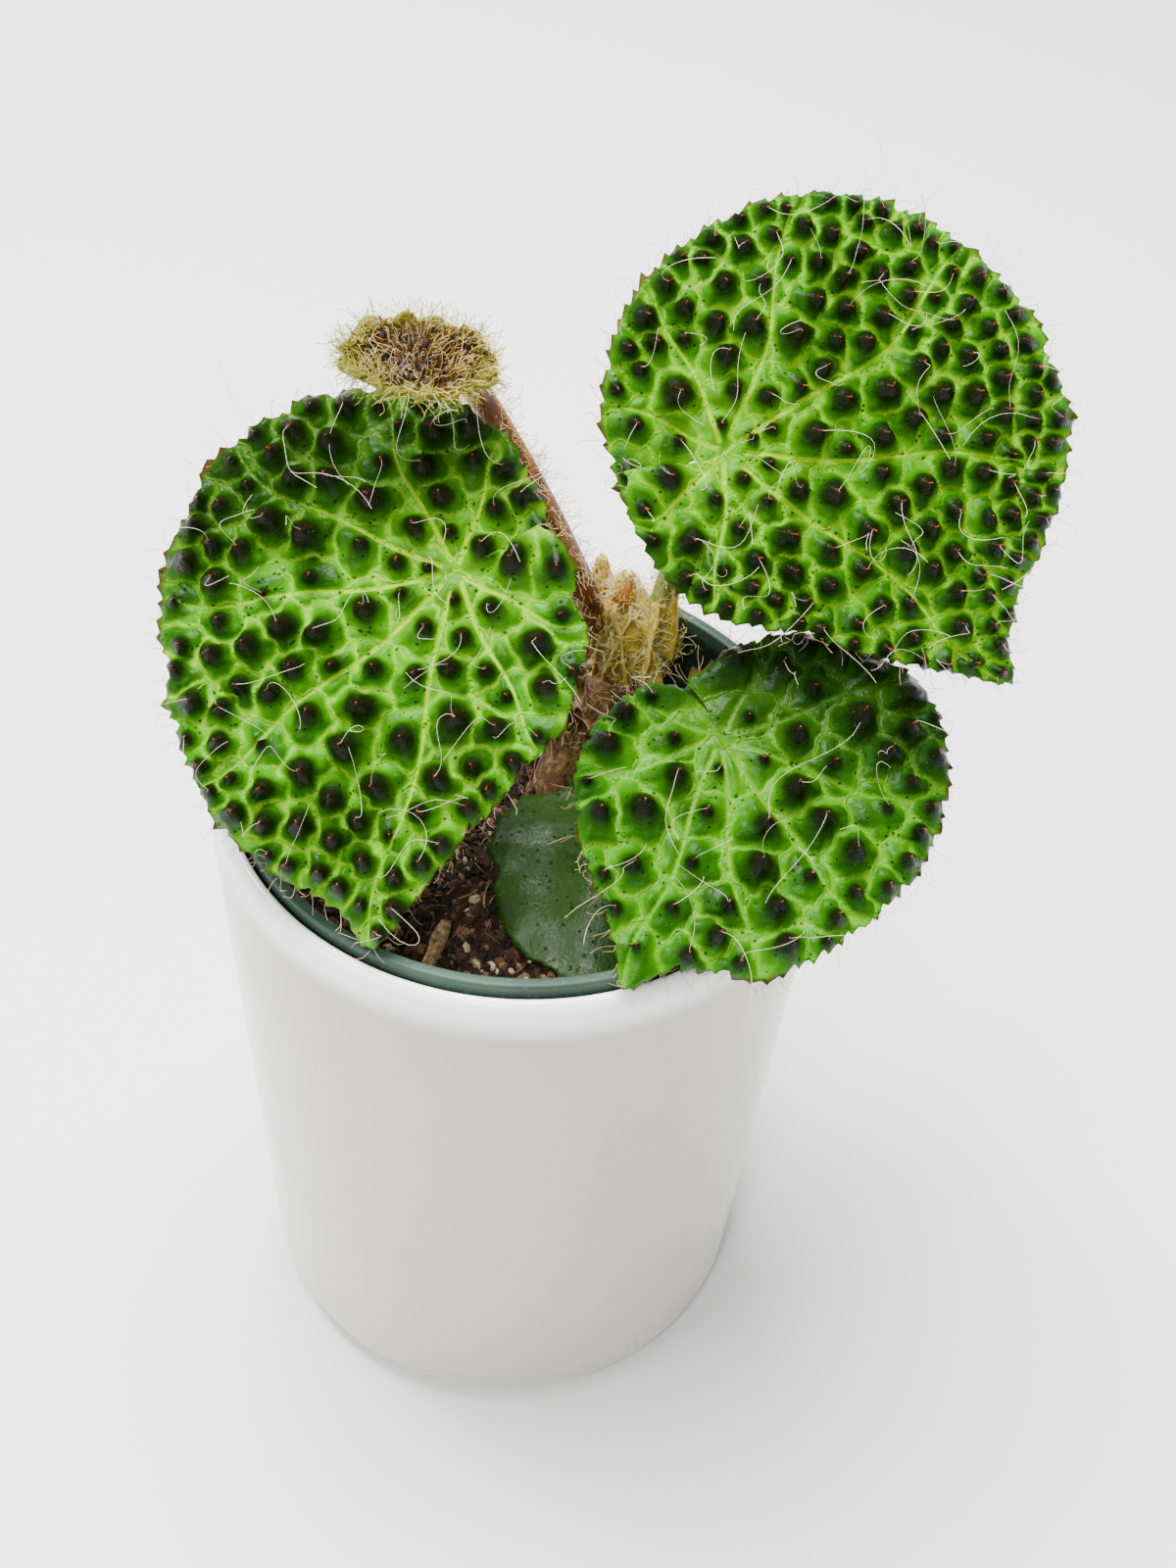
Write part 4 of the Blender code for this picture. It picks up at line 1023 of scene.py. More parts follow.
class CoverPotSize(bpy.types.PropertyGroup):
    rim_radius: length_setting("Rim radius", "Outer radius at the lip", 0.060)
    foot_radius: length_setting("Foot radius", "Outer radius near the base", 0.0529)
    height: length_setting("Height", "Height of the lip", 0.149)
    wall: length_setting("Wall", "Thickness of the wall", 0.004)
    floor: length_setting("Floor", "Thickness of the floor", 0.005)


class BEGONIA_OT_cover_pot(bpy.types.Operator):
    """Turn the glazed cover pot"""
    bl_idname = "begonia.cover_pot"
    bl_label = "Cover Pot"

    def execute(self, context):
        size = context.scene.begonia_cover
        rim, foot, top, wall = size.rim_radius, size.foot_radius, size.height, size.wall
        lip = wall * 0.5
        shoulder, turn = 7.0 * MM, wall - lip * 0.4
        bend, corner = 9.0 * MM, 5.0 * MM
        profile = [(0.0, size.floor), (foot - wall - corner, size.floor)]
        profile += arc((foot - wall - 4.5 * MM, size.floor + corner), corner, -84.0, -4.0, 8)
        inner = rim - wall
        profile += [
            (inner, top - 1.6 * MM), (inner + 0.1 * MM, top - 0.8 * MM),
            (inner + 0.4 * MM, top - 0.25 * MM), (rim - turn, top),
        ]
        for radius, height in arc((0.0, 0.0), 1.0, 80.0, 0.0, 18):
            profile.append((rim - turn + turn * radius, top - shoulder + shoulder * height))
        profile += arc((foot + 0.35 * MM - bend, bend), bend, -2.0, -90.0, 14)
        profile.append((0.0, 0.0))
        mesh = turned_mesh("cover_pot_glazed", profile, 160)
        add_piece("cover_pot_glazed", mesh, [white_glaze()], "cover_pot")
        return {"FINISHED"}


class NurseryPotSize(bpy.types.PropertyGroup):
    rim_radius: length_setting("Rim radius", "Outer radius of the rim band", 0.0555)
    foot_radius: length_setting("Foot radius", "Outer radius of the foot", 0.0442)
    top: length_setting("Top", "Height of the rim", 0.151)
    wall: length_setting("Wall", "Thickness of the wall", 0.0012)
    drain_holes: count_setting("Drain holes", "Holes through the floor", 6)


class BEGONIA_OT_nursery_pot(bpy.types.Operator):
    """Turn the nursery pot and cut its drain holes"""
    bl_idname = "begonia.nursery_pot"
    bl_label = "Nursery Pot"

    def execute(self, context):
        size = context.scene.begonia_nursery
        rim, foot, top, wall = size.rim_radius, size.foot_radius, size.top, size.wall
        base, band, bead = 5.3 * MM, 6.0 * MM, 0.6 * MM
        hole_ring, hole_radius = 30.0 * MM, 4.0 * MM
        profile = [
            (0.0, base + wall), (foot - wall - bead, base + wall),
            (foot - wall, base + wall + bead), (rim - 2.6 * MM, top - band),
            (rim - 2.3 * MM, top - 0.7 * MM),
        ]
        profile += arc((rim - 1.7 * MM, top - bead), bead, 170.0, 95.0, 5)
        profile += arc((rim - bead, top - bead), bead, 85.0, 0.0, 6)
        profile += [
            (rim, top - band + 1.1 * MM), (rim - 0.3 * MM, top - band + bead),
            (rim - 1.3 * MM, top - band), (foot, base + 0.5 * MM), (foot - 0.5 * MM, base),
            (0.0, base),
        ]
        pot = linked("nursery_pot_blank", turned_mesh("nursery_pot_blank", profile, 144))
        holes = []
        for index in range(size.drain_holes):
            turn = math.tau * index / size.drain_holes
            bm = bmesh.new()
            bmesh.ops.create_cone(bm, cap_ends=True, segments=24, radius1=hole_radius,
                                  radius2=hole_radius, depth=6.0 * MM)
            hole = linked("drain_hole", mesh_of("drain_hole", bm))
            hole.location = (hole_ring * math.cos(turn), hole_ring * math.sin(turn), base)
            cut = pot.modifiers.new("Drain hole", "BOOLEAN")
            cut.operation = "DIFFERENCE"
            cut.object = hole
            holes.append(hole)
        context.view_layer.update()
        mesh = taken_mesh(pot)
        for hole in holes:
            bpy.data.objects.remove(hole, do_unlink=True)
        add_piece("nursery_pot_moulded", mesh, [nursery_plastic()], "nursery_pot")
        return {"FINISHED"}


# Potting mix


def soil_height(x, y):
    """Height of the potting mix's mounds, by the rule that the model's solid follows."""
    chip = math.hypot(x - BARK_CENTRE[0] * MM, y - BARK_CENTRE[1] * MM)
    level = min(1.0, max(0.0, (chip - 8.0 * MM) / (7.0 * MM)))
    bump = noise.noise(Vector((x / (13.0 * MM), y / (13.0 * MM), SOIL_SEED)))
    fine = noise.noise(Vector((x / (5.0 * MM), y / (5.0 * MM), SOIL_SEED + 7.0)))
    away = math.hypot(x - STEM_DIMPLE_CENTRE[0] * MM, y - STEM_DIMPLE_CENTRE[1] * MM)
    dimple = 2.4 * MM * math.exp(-(away / (13.0 * MM)) ** 2)
    return SOIL_TOP + level * 1.6 * MM * (bump + 0.6 * fine) - dimple


class PottingMixLook(bpy.types.PropertyGroup):
    crumb_density: number_setting("Crumbs", "Crumbs per square metre", 520000.0)
    largest_crumb: length_setting("Largest crumb", "Half the largest crumb", 0.0013)
    fibres: count_setting("Fibres", "Number of loose fibres", 420)


def mix_top():
    """The mix's rough, round top: a square grid of points drawn out to a disc."""
    radius, cells = 51.6 * MM, 150
    bm = bmesh.new()
    bmesh.ops.create_grid(bm, x_segments=cells, y_segments=cells, size=1.0)
    for vert in bm.verts:
        a, b = vert.co.x, vert.co.y
        x = radius * a * math.sqrt(1.0 - 0.5 * b * b)
        y = radius * b * math.sqrt(1.0 - 0.5 * a * a)
        clod = noise.noise(Vector((x, y, 0.013)) / (2.4 * MM))
        crumb = noise.noise(Vector((x, y, 0.029)) / (1.0 * MM))
        vert.co = Vector((x, y, soil_height(x, y) + 0.75 * MM * clod + 0.4 * MM * crumb))
    return mesh_of("mix_top", bm)


def closed_below(top, bottom, narrowing):
    """The mix's top drawn down to a narrower flat bottom."""
    bm = bmesh.new()
    bm.from_mesh(top)
    border = [edge for edge in bm.edges if edge.is_boundary]
    drawn = bmesh.ops.extrude_edge_only(bm, edges=border)["geom"]
    for vert in (item for item in drawn if isinstance(item, bmesh.types.BMVert)):
        vert.co = Vector((vert.co.x * narrowing, vert.co.y * narrowing, bottom))
    lower = [item for item in drawn if isinstance(item, bmesh.types.BMEdge)]
    bmesh.ops.holes_fill(bm, edges=lower, sides=0)
    bmesh.ops.recalc_face_normals(bm, faces=bm.faces)
    return mesh_of("potting_mix", bm, smooth=True)


class BEGONIA_OT_potting_mix(bpy.types.Operator):
    """Fill the nursery pot with rough mix, crumbs and fibres"""
    bl_idname = "begonia.potting_mix"
    bl_label = "Potting Mix"

    def execute(self, context):
        look = context.scene.begonia_mix
        top = mix_top()
        bits = crumb_material()
        crumbs = node_result("crumbs", top.copy(), crumb_tree(), {
            "Density": look.crumb_density, "Largest": look.largest_crumb, "Seed": 5,
            "Material": bits,
        })
        add_piece("potting_mix", closed_below(top, 7.1 * MM, 0.824), [peat()], "soil")
        add_piece("mix_crumbs", crumbs, [bits])
        rng = random.Random(8)
        roots, ways = [], []
        for index in range(look.fibres):
            turn, out = rng.uniform(0.0, math.tau), 50.0 * MM * math.sqrt(rng.random())
            x, y = out * math.cos(turn), out * math.sin(turn)
            roots.append((x, y, soil_height(x, y) + 0.5 * MM))
            heading = rng.uniform(0.0, math.tau)
            ways.append((math.cos(heading), math.sin(heading), rng.uniform(0.0, 0.35)))
        straw = hair_material("Dry peat fibre", "#4A301C", "#9A7B52")
        hairs("mix_fibres", roots, ways, straw, 3, Length=4.2 * MM, Thickness=0.16 * MM,
              Curl=0.35, Spread=0.15, Steps=6)
        return {"FINISHED"}


class BEGONIA_OT_bark_chip(bpy.types.Operator):
    """Lay the splinter of bark on the mix"""
    bl_idname = "begonia.bark_chip"
    bl_label = "Bark Chip"

    def execute(self, context):
        low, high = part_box("bark_chip")
        centre = (Vector(low) + Vector(high)) * 0.5
        length, width, depth = 11.4 * MM, 2.7 * MM, high[2] - low[2]
        bm = bmesh.new()
        bmesh.ops.create_cube(bm, size=1.0)
        bmesh.ops.subdivide_edges(bm, edges=bm.edges, cuts=11, use_grid_fill=True)
        for vert in bm.verts:
            along = vert.co.y
            narrow = 1.0 - 0.5 * abs(along) + 0.12 * math.sin(9.0 * along)
            fibre = noise.noise(Vector((vert.co.x * 9.0, along * 1.6, vert.co.z * 9.0)))
            vert.co = Vector((
                vert.co.x * width * narrow + fibre * 0.35 * MM,
                along * length * (1.0 + 0.10 * fibre),
                vert.co.z * depth * (0.96 - 0.3 * abs(along)) + fibre * 0.12 * MM,
            ))
        bm.transform(Matrix.Translation(centre) @ rotation(-14.0, "Z"))
        bmesh.ops.recalc_face_normals(bm, faces=bm.faces)
        mesh = mesh_of("bark_splinter", bm, smooth=True)
        bark = papery("Weathered bark wood", "#5B4026", "#9A7A4C", "#C8A873", 0.0)
        add_piece("bark_splinter", mesh, [bark], "bark_chip")
        return {"FINISHED"}


# Blades


class BladeLook(bpy.types.PropertyGroup):
    pitch: length_setting("Mesh pitch", "Distance between the blade's points", 0.0006, min=0.0003)
    thickness: length_setting("Thickness", "Thickness of the blade", 0.00075)
    pillow: number_setting("Pillow", "Share of a bulla that is its round foot", 0.42, max=1.0)
    steepness: number_setting("Steepness", "Height of a bulla to its radius", 1.62)
    tooth_depth: length_setting("Tooth depth", "Depth of the marginal teeth", 0.0017)
    hair_share: number_setting("Hair share", "Share of the cones with a long hair", 0.55, max=1.0)
    hair_length: length_setting("Hair length", "Length of the hairs on the cones", 0.0112)
    hair_thickness: length_setting("Hair thickness", "Radius of the hairs", 0.000038)


def blade_points(leaf, lines, cells, radii, moved_cells, pitch):
    """Points inside a blade: round each cone, along the net and the veins, and a grid between."""
    points = []
    for cell, radius in zip(cells, radii):
        points.append(tuple(cell))
        for step in range(6):
            points.append(tuple(cell + polar(step * 60.0, CONE_RING * radius)))
    net = unwandered(rows(net_points([Vector(point) for point in moved_cells], pitch)))
    limit = outline_reach(leaf["outline"], degrees_of(net)) - NET_INSET
    net = net[np.linalg.norm(net, axis=1) < limit]
    for start, end in ((a, b) for line in lines for a, b in zip(line, line[1:])):
        steps = max(1, int((end - start).length / pitch))
        points += [tuple(start.lerp(end, step / steps)) for step in range(steps)]
    points += clear_of(net.tolist(), points, 0.6 * pitch)
    grid = hex_grid(leaf["outline"], pitch, 0.5 * pitch)
    return points + clear_of(grid.tolist(), points, 0.6 * pitch)


def outside_notch(points, sinus):
    """Points that don't lie in the slit between the lobes."""
    kept = []
    for x, y in points:
        turn = abs((math.degrees(math.atan2(x, y)) - sinus + 180.0) % 360.0 - 180.0)
        if turn > math.degrees(NOTCH_HALF_ANGLE) or math.hypot(x, y) < NOTCH_START:
            kept.append((x, y))
    return kept


def leaf_hairs(name, leaf, look, tips, margin):
    """Long hairs and short spines on the cones, and a fringe along the margin."""
    place = leaf_frame(leaf)
    turn = place.to_3x3()
    rng = random.Random(leaf["seed"] + 900)
    roots, ways, peaks, upright = [], [], [], []
    for tip in tips:
        upright.append(turn @ Vector((0.0, 0.1, 1.0)))
        peaks.append(place @ (Vector(tip) - raised_by(HAIR_SINK)))
        if rng.random() > look.hair_share:
            continue
        roots.append(peaks[-1])
        lean = Vector((rng.uniform(-0.9, 0.9), rng.uniform(-0.9, 0.9), 0.75))
        ways.append((turn @ lean).normalized())
    pale = hair_material("Pale leaf hair " + name, "#CFC7A0", "#EFEAD6")
    hairs(name + "_hairs", roots, ways, pale, leaf["seed"], Length=look.hair_length,
          Thickness=look.hair_thickness, Curl=1.15, Spread=0.4, Steps=14, Curl_Scale=95.0)
    spine = hair_material("Orange-red spine " + name, "#6A2010", "#9C401E")
    hairs(name + "_spines", peaks, upright, spine, leaf["seed"] + 5, Length=1.5 * MM,
          Thickness=0.17 * MM, Curl=0.12, Spread=0.25, Steps=4)
    rim = rows(margin)
    edge = raised(rim, np.zeros(len(rim)), leaf)
    roots, ways = [], []
    for index in range(0, len(rim), 5):
        if np.linalg.norm(rim[index]) < FRINGE_START:
            continue
        outward = Vector((*rim[index], 0.0)).normalized()
        for fork in range(2):
            stray = Vector((rng.uniform(-0.9, 0.9), rng.uniform(-0.9, 0.9), rng.uniform(-0.7, 0.7)))
            roots.append(place @ Vector(edge[index]))
            ways.append((turn @ (outward + stray)).normalized())
    fringe = hair_material("Marginal hair " + name, "#6E4C2A", "#CDB488")
    hairs(name + "_fringe", roots, ways, fringe, leaf["seed"] + 1, Length=3.4 * MM,
          Thickness=0.05 * MM, Curl=0.7, Spread=0.4, Steps=6, Curl_Scale=320.0)


def bullate_leaf(name, leaf, look, colours, node, far, shade):
    """A blade with cones on its cells, the sunk net between them, and its hairs."""
    lines = vein_lines(leaf)
    veins = [point for line in lines for point in line]
    cells = scatter_cells(leaf, veins)
    radii = cell_radii(cells, veins, leaf["outline"])
    margin = margin_line(leaf, look.pitch, TOOTH_PITCH, look.tooth_depth)
    centres = rows(cells)
    moved_cells = wandered(centres)
    room = np.array(radii)
    near, far_out = lobes(centres, leaf)[1:]
    rise = look.steepness * room * (1.0 - 0.5 * near * far_out)
    hub = np.array(metres(leaf["hub"]))
    axes = np.array(leaf_frame(leaf).to_3x3())

    def fields(place):
        first, second, which = two_nearest(wandered(place), moved_cells)
        away = vein_distance(place, lines)
        edge = (second - first) * 0.5
        reach = np.linalg.norm(place, axis=1)
        limit = outline_reach(leaf["outline"], degrees_of(place))
        inside = np.maximum(limit - reach, 0.0)
        valley = np.minimum(np.minimum(edge, away), inside + MARGIN_EASE)
        share = valley / (valley + first + 1e-7)
        hill = np.sin(0.5 * math.pi * np.clip(share * 1.7, 0.0, 1.0))
        out = np.linalg.norm(place - centres[which], axis=1)
        dome = np.clip(1.0 - out / (leaf["cones"] * room[which]), 0.0, 1.0)
        cone = dome ** 1.2 * np.clip(share * 6.0, 0.0, 1.0)
        height = rise[which] * (look.pillow * hill + (1.0 - look.pillow) * cone)
        height = height * np.clip(reach / HUB_FLAT, 0.15, 1.0)
        world = hub + np.stack([place[:, 0], place[:, 1], 0.0 * reach], axis=1) @ axes.T
        # Painted shade: a share that grows along one direction across the blade, from an offset
        # over a distance
        painted_shade_share = np.clip((world @ np.array(far[0]) - far[1]) / far[2], 0.0, 1.0)
        return height, {
            "cone": cone, "net": edge / MM, "painted_shade_share": painted_shade_share, "rim": inside / MM, "flank": share,
            "vein": away / MM / np.clip(1.15 - reach / limit, 0.2, 1.0),
            "hub": np.clip(1.0 - reach / HUB_GLOW, 0.0, 1.0),
        }

    points = blade_points(leaf, lines, cells, radii, moved_cells, look.pitch)
    points = clear_of(points, [tuple(point) for point in margin], 0.45 * look.pitch)
    mesh = blade_mesh(name, leaf, margin, outside_notch(points, leaf["sinus"]), fields)
    mats = [leaf_upper("Waxy leaf cuticle " + name, colours, shade), leaf_under(), leaf_margin()]
    thickened(name, mesh, look.thickness, mats, node)
    leaf_hairs(name, leaf, look, raised(centres, fields(centres)[0], leaf), margin)


class BEGONIA_OT_bullate_leaves(bpy.types.Operator):
    """Grow the three bullate leaves with their hairs"""
    bl_idname = "begonia.bullate_leaves"
    bl_label = "Bullate Leaves"

    def execute(self, context):
        look = context.scene.begonia_blade
        # Where each blade's painted shade falls: a direction, an offset and the distance over which
        # it darkens fully
        back = ((-0.2, 0.98, 0.0), 0.0 * MM, 24.0 * MM)
        away = ((-0.75, 0.66, 0.0), -6.0 * MM, 40.0 * MM)
        shadow = ((0.2, 0.98, 0.0), -16.0 * MM, 22.0 * MM)
        bullate_leaf("left_blade", LEFT_LEAF, look, BRIGHT_LOOK, "leaf_left", back, 0.24)
        bullate_leaf("right_blade", RIGHT_LEAF, look, RIGHT_LOOK, "leaf_right", away, 0.22)
        bullate_leaf("front_blade", FRONT_LEAF, look, SHADED_FRONT_LOOK, "leaf_front", shadow, 0.24)
        return {"FINISHED"}


class BEGONIA_OT_juvenile_leaf(bpy.types.Operator):
    """Grow the smooth juvenile leaf near the mix"""
    bl_idname = "begonia.juvenile_leaf"
    bl_label = "Juvenile Leaf"

    def execute(self, context):
        leaf = JUVENILE_LEAF
        lines = vein_lines(leaf)
        pitch = 0.9 * MM
        margin = margin_line(leaf, pitch, 3.0 * MM, 0.6 * MM, notch=False)

        def fields(place):
            away = vein_distance(place, lines)
            none = 0.0 * away
            angle = np.radians(degrees_of(place))
            reach = np.linalg.norm(place, axis=1)
            share = np.minimum(1.0, reach / outline_reach(leaf["outline"], degrees_of(place)))
            x, y = place[:, 0] / MM, place[:, 1] / MM
            swell = np.sin(0.27 * x + 0.9) * np.cos(0.24 * y - 0.4)
            fold = 1.7 * MM * swell + 0.5 * MM * np.cos(5.0 * angle) * share - 2.6 * MM * share ** 2
            groove = -0.2 * MM * np.exp(-(away / (2.6 * MM)) ** 2)
            return fold + groove, {
                "cone": none, "net": 1.0 + away / MM, "vein": 0.35 + away / MM, "painted_shade_share": none,
                "hub": none, "rim": 2.0 + none, "flank": 1.0 + none,
            }

        grid = hex_grid(leaf["outline"], pitch, 0.8 * MM)
        points = clear_of(grid.tolist(), [tuple(point) for point in margin], 0.5 * MM)
        mesh = blade_mesh("juvenile_blade", leaf, margin, points, fields)
        waxy = leaf_upper("Waxy juvenile cuticle", JUVENILE_LOOK, 0.34, 0.4)
        mats = [waxy, leaf_under(), leaf_margin()]
        thickened("juvenile_blade", mesh, 0.9 * MM, mats, "leaf_juvenile")
        return {"FINISHED"}


class YoungLeafLook(bpy.types.PropertyGroup):
    length: length_setting("Length", "Length of the folded blade", 0.0245)
    width: length_setting("Width", "Width of the folded blade", 0.0138)
    hairs: count_setting("Hairs", "Number of hairs", 1900)


def young_sheet(look, place):
    """The young blade's knobbed, ruffled and cupped sheet, with its way out to the edge stored."""
    bm = bmesh.new()
    bmesh.ops.create_grid(bm, x_segments=72, y_segments=48, size=1.0)
    across = []
    for vert in bm.verts:
        u, v = vert.co.x, vert.co.y
        edge = max(abs(u), abs(v))
        ruffle = 1.0 + 0.09 * edge ** 4 * math.sin(15.0 * math.atan2(v, u))
        half = 0.5 * look.width * math.sqrt(max(0.04, 1.0 - 0.95 * u * u)) * ruffle
        cup = 4.2 * MM * v * v * (1.0 - 0.3 * u) - 1.6 * MM * u * u
        knob = max(0.0, noise.noise(Vector((u * 8.0, v * 5.5, 3.0)))) ** 0.7
        dome = 2.2 * MM * (1.0 - edge ** 2)
        vert.co = Vector((
            u * look.length * 0.5 * ruffle, v * half, cup + dome + 1.9 * MM * knob
        ))
        across.append(edge)
    mesh = mesh_of("young_blade", bm, smooth=True)
    store(mesh, "across", across)
    mesh.transform(place)
    return mesh


def young_hair_roots(look, place, mesh):
    """Roots of the down on the young blade's face, its bristles, and its fringe all round."""
    rng = random.Random(77)
    inner, core, outer = ([], []), ([], []), ([], [])
    up = place.to_3x3() @ raised_by(1.0)
    back = place.inverted()
    for index in range(look.hairs):
        face = mesh.polygons[rng.randrange(len(mesh.polygons))]
        local = back @ face.center
        out = math.hypot(local.x / (look.length * 0.5), local.y / (look.width * 0.5))
        facing = face.normal.dot(up)
        if facing > 0.1 and out < 0.86:
            pick = rng.random()
            if pick > 0.72:
                continue
            bunch = inner if pick < 0.44 else core
        elif facing < -0.3 and rng.random() < 0.5:
            continue
        else:
            bunch = outer
        bunch[0].append(face.center.copy())
        spread = (face.center - place.translation).normalized() * 0.7
        bunch[1].append((face.normal + spread + raised_by(0.35)).normalized())
    return inner, core, outer


class BEGONIA_OT_young_leaf(bpy.types.Operator):
    """Grow the folded young leaf, wrapped in hairs"""
    bl_idname = "begonia.young_leaf"
    bl_label = "Young Leaf"

    def execute(self, context):
        look = context.scene.begonia_young
        place = Matrix.Translation(metres(YOUNG_CENTRE))
        for degrees, axis in ((6.0, "Y"), (38.0, "X"), (4.0, "Z")):
            place = place @ rotation(degrees, axis)
        mesh = young_sheet(look, place)
        skin = young_skin()
        mesh.materials.append(skin)
        mesh = solidified(linked("young_sheet", mesh), 1.5 * MM, -0.3)
        add_piece("young_blade", mesh, [skin], "leaf_young")
        inner, core, outer = young_hair_roots(look, place, mesh)
        cream = hair_material("Cream down", "#C0A040", "#F4E6A4")
        red = hair_material("Red-brown bristle", "#381604", "#84500E")
        yellow = hair_material("Yellow-green down", "#7C7410", "#CDBC46")
        hairs("young_down", *inner, cream, 71, Length=5.4 * MM, Thickness=0.045 * MM, Curl=0.36,
              Spread=0.35, Steps=8, Curl_Scale=240.0)
        hairs("young_bristles", *core, red, 73, Length=3.0 * MM, Thickness=0.13 * MM, Curl=0.2,
              Spread=0.35, Steps=5, Curl_Scale=200.0)
        hairs("young_fringe", *outer, yellow, 72, Length=3.6 * MM, Thickness=0.07 * MM, Curl=0.55,
              Spread=0.55, Steps=6, Curl_Scale=330.0)
        return {"FINISHED"}


# Stalks and crown


def tube_mesh(name, points, radius):
    """A stalk as a smooth curve with a round bevel, made a mesh with welded caps."""
    curve = bpy.data.curves.new(name, "CURVE")
    curve.dimensions = "3D"
    curve.bevel_depth = radius
    curve.bevel_resolution = 8
    curve.resolution_u = 16
    curve.use_fill_caps = True
    spline = curve.splines.new("BEZIER")
    spline.bezier_points.add(len(points) - 1)
    for knot, point in zip(spline.bezier_points, points):
        knot.co = point
        knot.handle_left_type = "AUTO"
        knot.handle_right_type = "AUTO"
    mesh = taken_mesh(linked(name + "_curve", curve))
    bm = bmesh.new()
    bm.from_mesh(mesh)
    bmesh.ops.remove_doubles(bm, verts=bm.verts, dist=0.000001)
    bmesh.ops.recalc_face_normals(bm, faces=bm.faces)
    bm.to_mesh(mesh)
    bm.free()
    mesh.shade_smooth()
    return mesh


def stalk_path(points, leaf, thickness):
    """A stalk's line from its foot to just under its blade's hub."""
    path = [metres(point) for point in points]
    place = leaf_frame(leaf)
    normal = place.to_3x3() @ raised_by(1.0)
    end = place.translation - normal * (thickness + 0.45 * MM)
    return path + [end - normal * 6.0 * MM, end]


def surface_roots(mesh, count, seed, lowest=-1.0):
    """Random points above a height on a mesh, weighted by face area, with their normals.

    Faces and corners are sorted first: Blender's welding leaves them in no fixed order.
    """
    rng = random.Random(seed)
    faces = [face for face in mesh.polygons if face.center.z > lowest]
    faces.sort(key=lambda face: sorted(face.vertices))
    areas = np.cumsum([face.area for face in faces])
    roots, ways = [], []
    for index in range(count):
        face = faces[int(np.searchsorted(areas, rng.random() * areas[-1]))]
        corners = [mesh.vertices[corner].co for corner in sorted(face.vertices)]
        weights = [rng.random() for corner in corners]
        total = sum(weights)
        spot = sum((c * (w / total) for c, w in zip(corners, weights)), Vector())
        roots.append(spot)
        ways.append(face.normal.copy())
    return roots, ways


class StalkLook(bpy.types.PropertyGroup):
    radius: length_setting("Radius", "Radius of the stout stalks", 0.0021)
    young_radius: length_setting("Young radius", "Radius of the young leaf's stalk", 0.0024)
    slim_radius: length_setting("Slim radius", "Radius of the juvenile stalk", 0.0015)
    down: count_setting("Down", "Hairs on the young stalk", 800)


class BEGONIA_OT_stalks(bpy.types.Operator):
    """Draw the leaf stalks and their down"""
    bl_idname = "begonia.stalks"
    bl_label = "Stalks"

    def execute(self, context):
        look = context.scene.begonia_stalks
        green = stalk_material("Fleshy green stalk", "#5E5A24", "#7F9440", "#A6B860")
        russet = stalk_material("Fleshy russet stalk", "#4E2008", "#84420F", "#A86A2C")
        stalks = (
            ("petiole_left", LEFT_PETIOLE, LEFT_LEAF, 0.75 * MM, look.radius),
            ("petiole_right", RIGHT_PETIOLE, RIGHT_LEAF, 0.75 * MM, look.radius),
            ("petiole_front", FRONT_PETIOLE, FRONT_LEAF, 0.75 * MM, look.radius),
            ("petiole_juvenile", JUVENILE_PETIOLE, JUVENILE_LEAF, 0.9 * MM, look.slim_radius),
        )
        wool = hair_material("Stalk wool", "#A8884C", "#DCC690")
        for index, (name, points, leaf, thickness, radius) in enumerate(stalks):
            mesh = tube_mesh(name + "_stalk", stalk_path(points, leaf, thickness), radius)
            roots, ways = surface_roots(mesh, 420, index, 133.0 * MM)
            add_piece(name + "_stalk", mesh, [green], name)
            hairs(name + "_wool", roots, ways, wool, 80 + index, Length=2.6 * MM,
                  Thickness=0.06 * MM, Curl=0.7, Spread=0.6, Steps=6, Curl_Scale=380.0)
        path = [metres(point) for point in YOUNG_PETIOLE]
        mesh = tube_mesh("petiole_young_stalk", path, look.young_radius)
        roots, ways = surface_roots(mesh, look.down, 91)
        add_piece("petiole_young_stalk", mesh, [russet], "petiole_young")
        hairs("petiole_young_down", roots, ways, wool, 92, Length=3.0 * MM,
              Thickness=0.065 * MM, Curl=0.8, Spread=0.6, Steps=7, Curl_Scale=420.0)
        return {"FINISHED"}


class CrownLook(bpy.types.PropertyGroup):
    stipules: count_setting("Stipules", "Papery stipules round the crown", 8, 1)
    stipule_length: length_setting("Stipule length", "Length of a stipule", 0.017)
    wool: count_setting("Wool", "Curled hairs on the crown", 1300)
    dried: count_setting("Dried stipules", "Dried stipules on the rhizome", 16, 2)


def papery_scale(length, width, bend, thickness, matrix, seed):
    """A pointed papery stipule: drawn to a tip, cupped, crinkled and bent along its length."""
    bm = bmesh.new()
    bmesh.ops.create_grid(bm, x_segments=14, y_segments=22, size=1.0)
    for vert in bm.verts:
        u, w = vert.co.x, 0.5 * (vert.co.y + 1.0)
        half = 0.5 * width * (1.0 - 0.93 * w ** 1.7)
        cup = -0.28 * width * u * u * (1.0 - 0.5 * w)
        crinkle = noise.noise(Vector((u * 2.5, w * 4.0, seed))) * 0.9 * MM
        vert.co = Vector((u * half, cup + bend * w * w + crinkle, length * w))
    bmesh.ops.recalc_face_normals(bm, faces=bm.faces)
    mesh = solidified(linked("scale", mesh_of("scale", bm)), thickness, 0.0)
    mesh.transform(matrix)
    return mesh


def joined(name, meshes):
    """Several meshes as one."""
    bm = bmesh.new()
    for mesh in meshes:
        bm.from_mesh(mesh)
        bpy.data.meshes.remove(mesh)
    return mesh_of(name, bm, smooth=True)


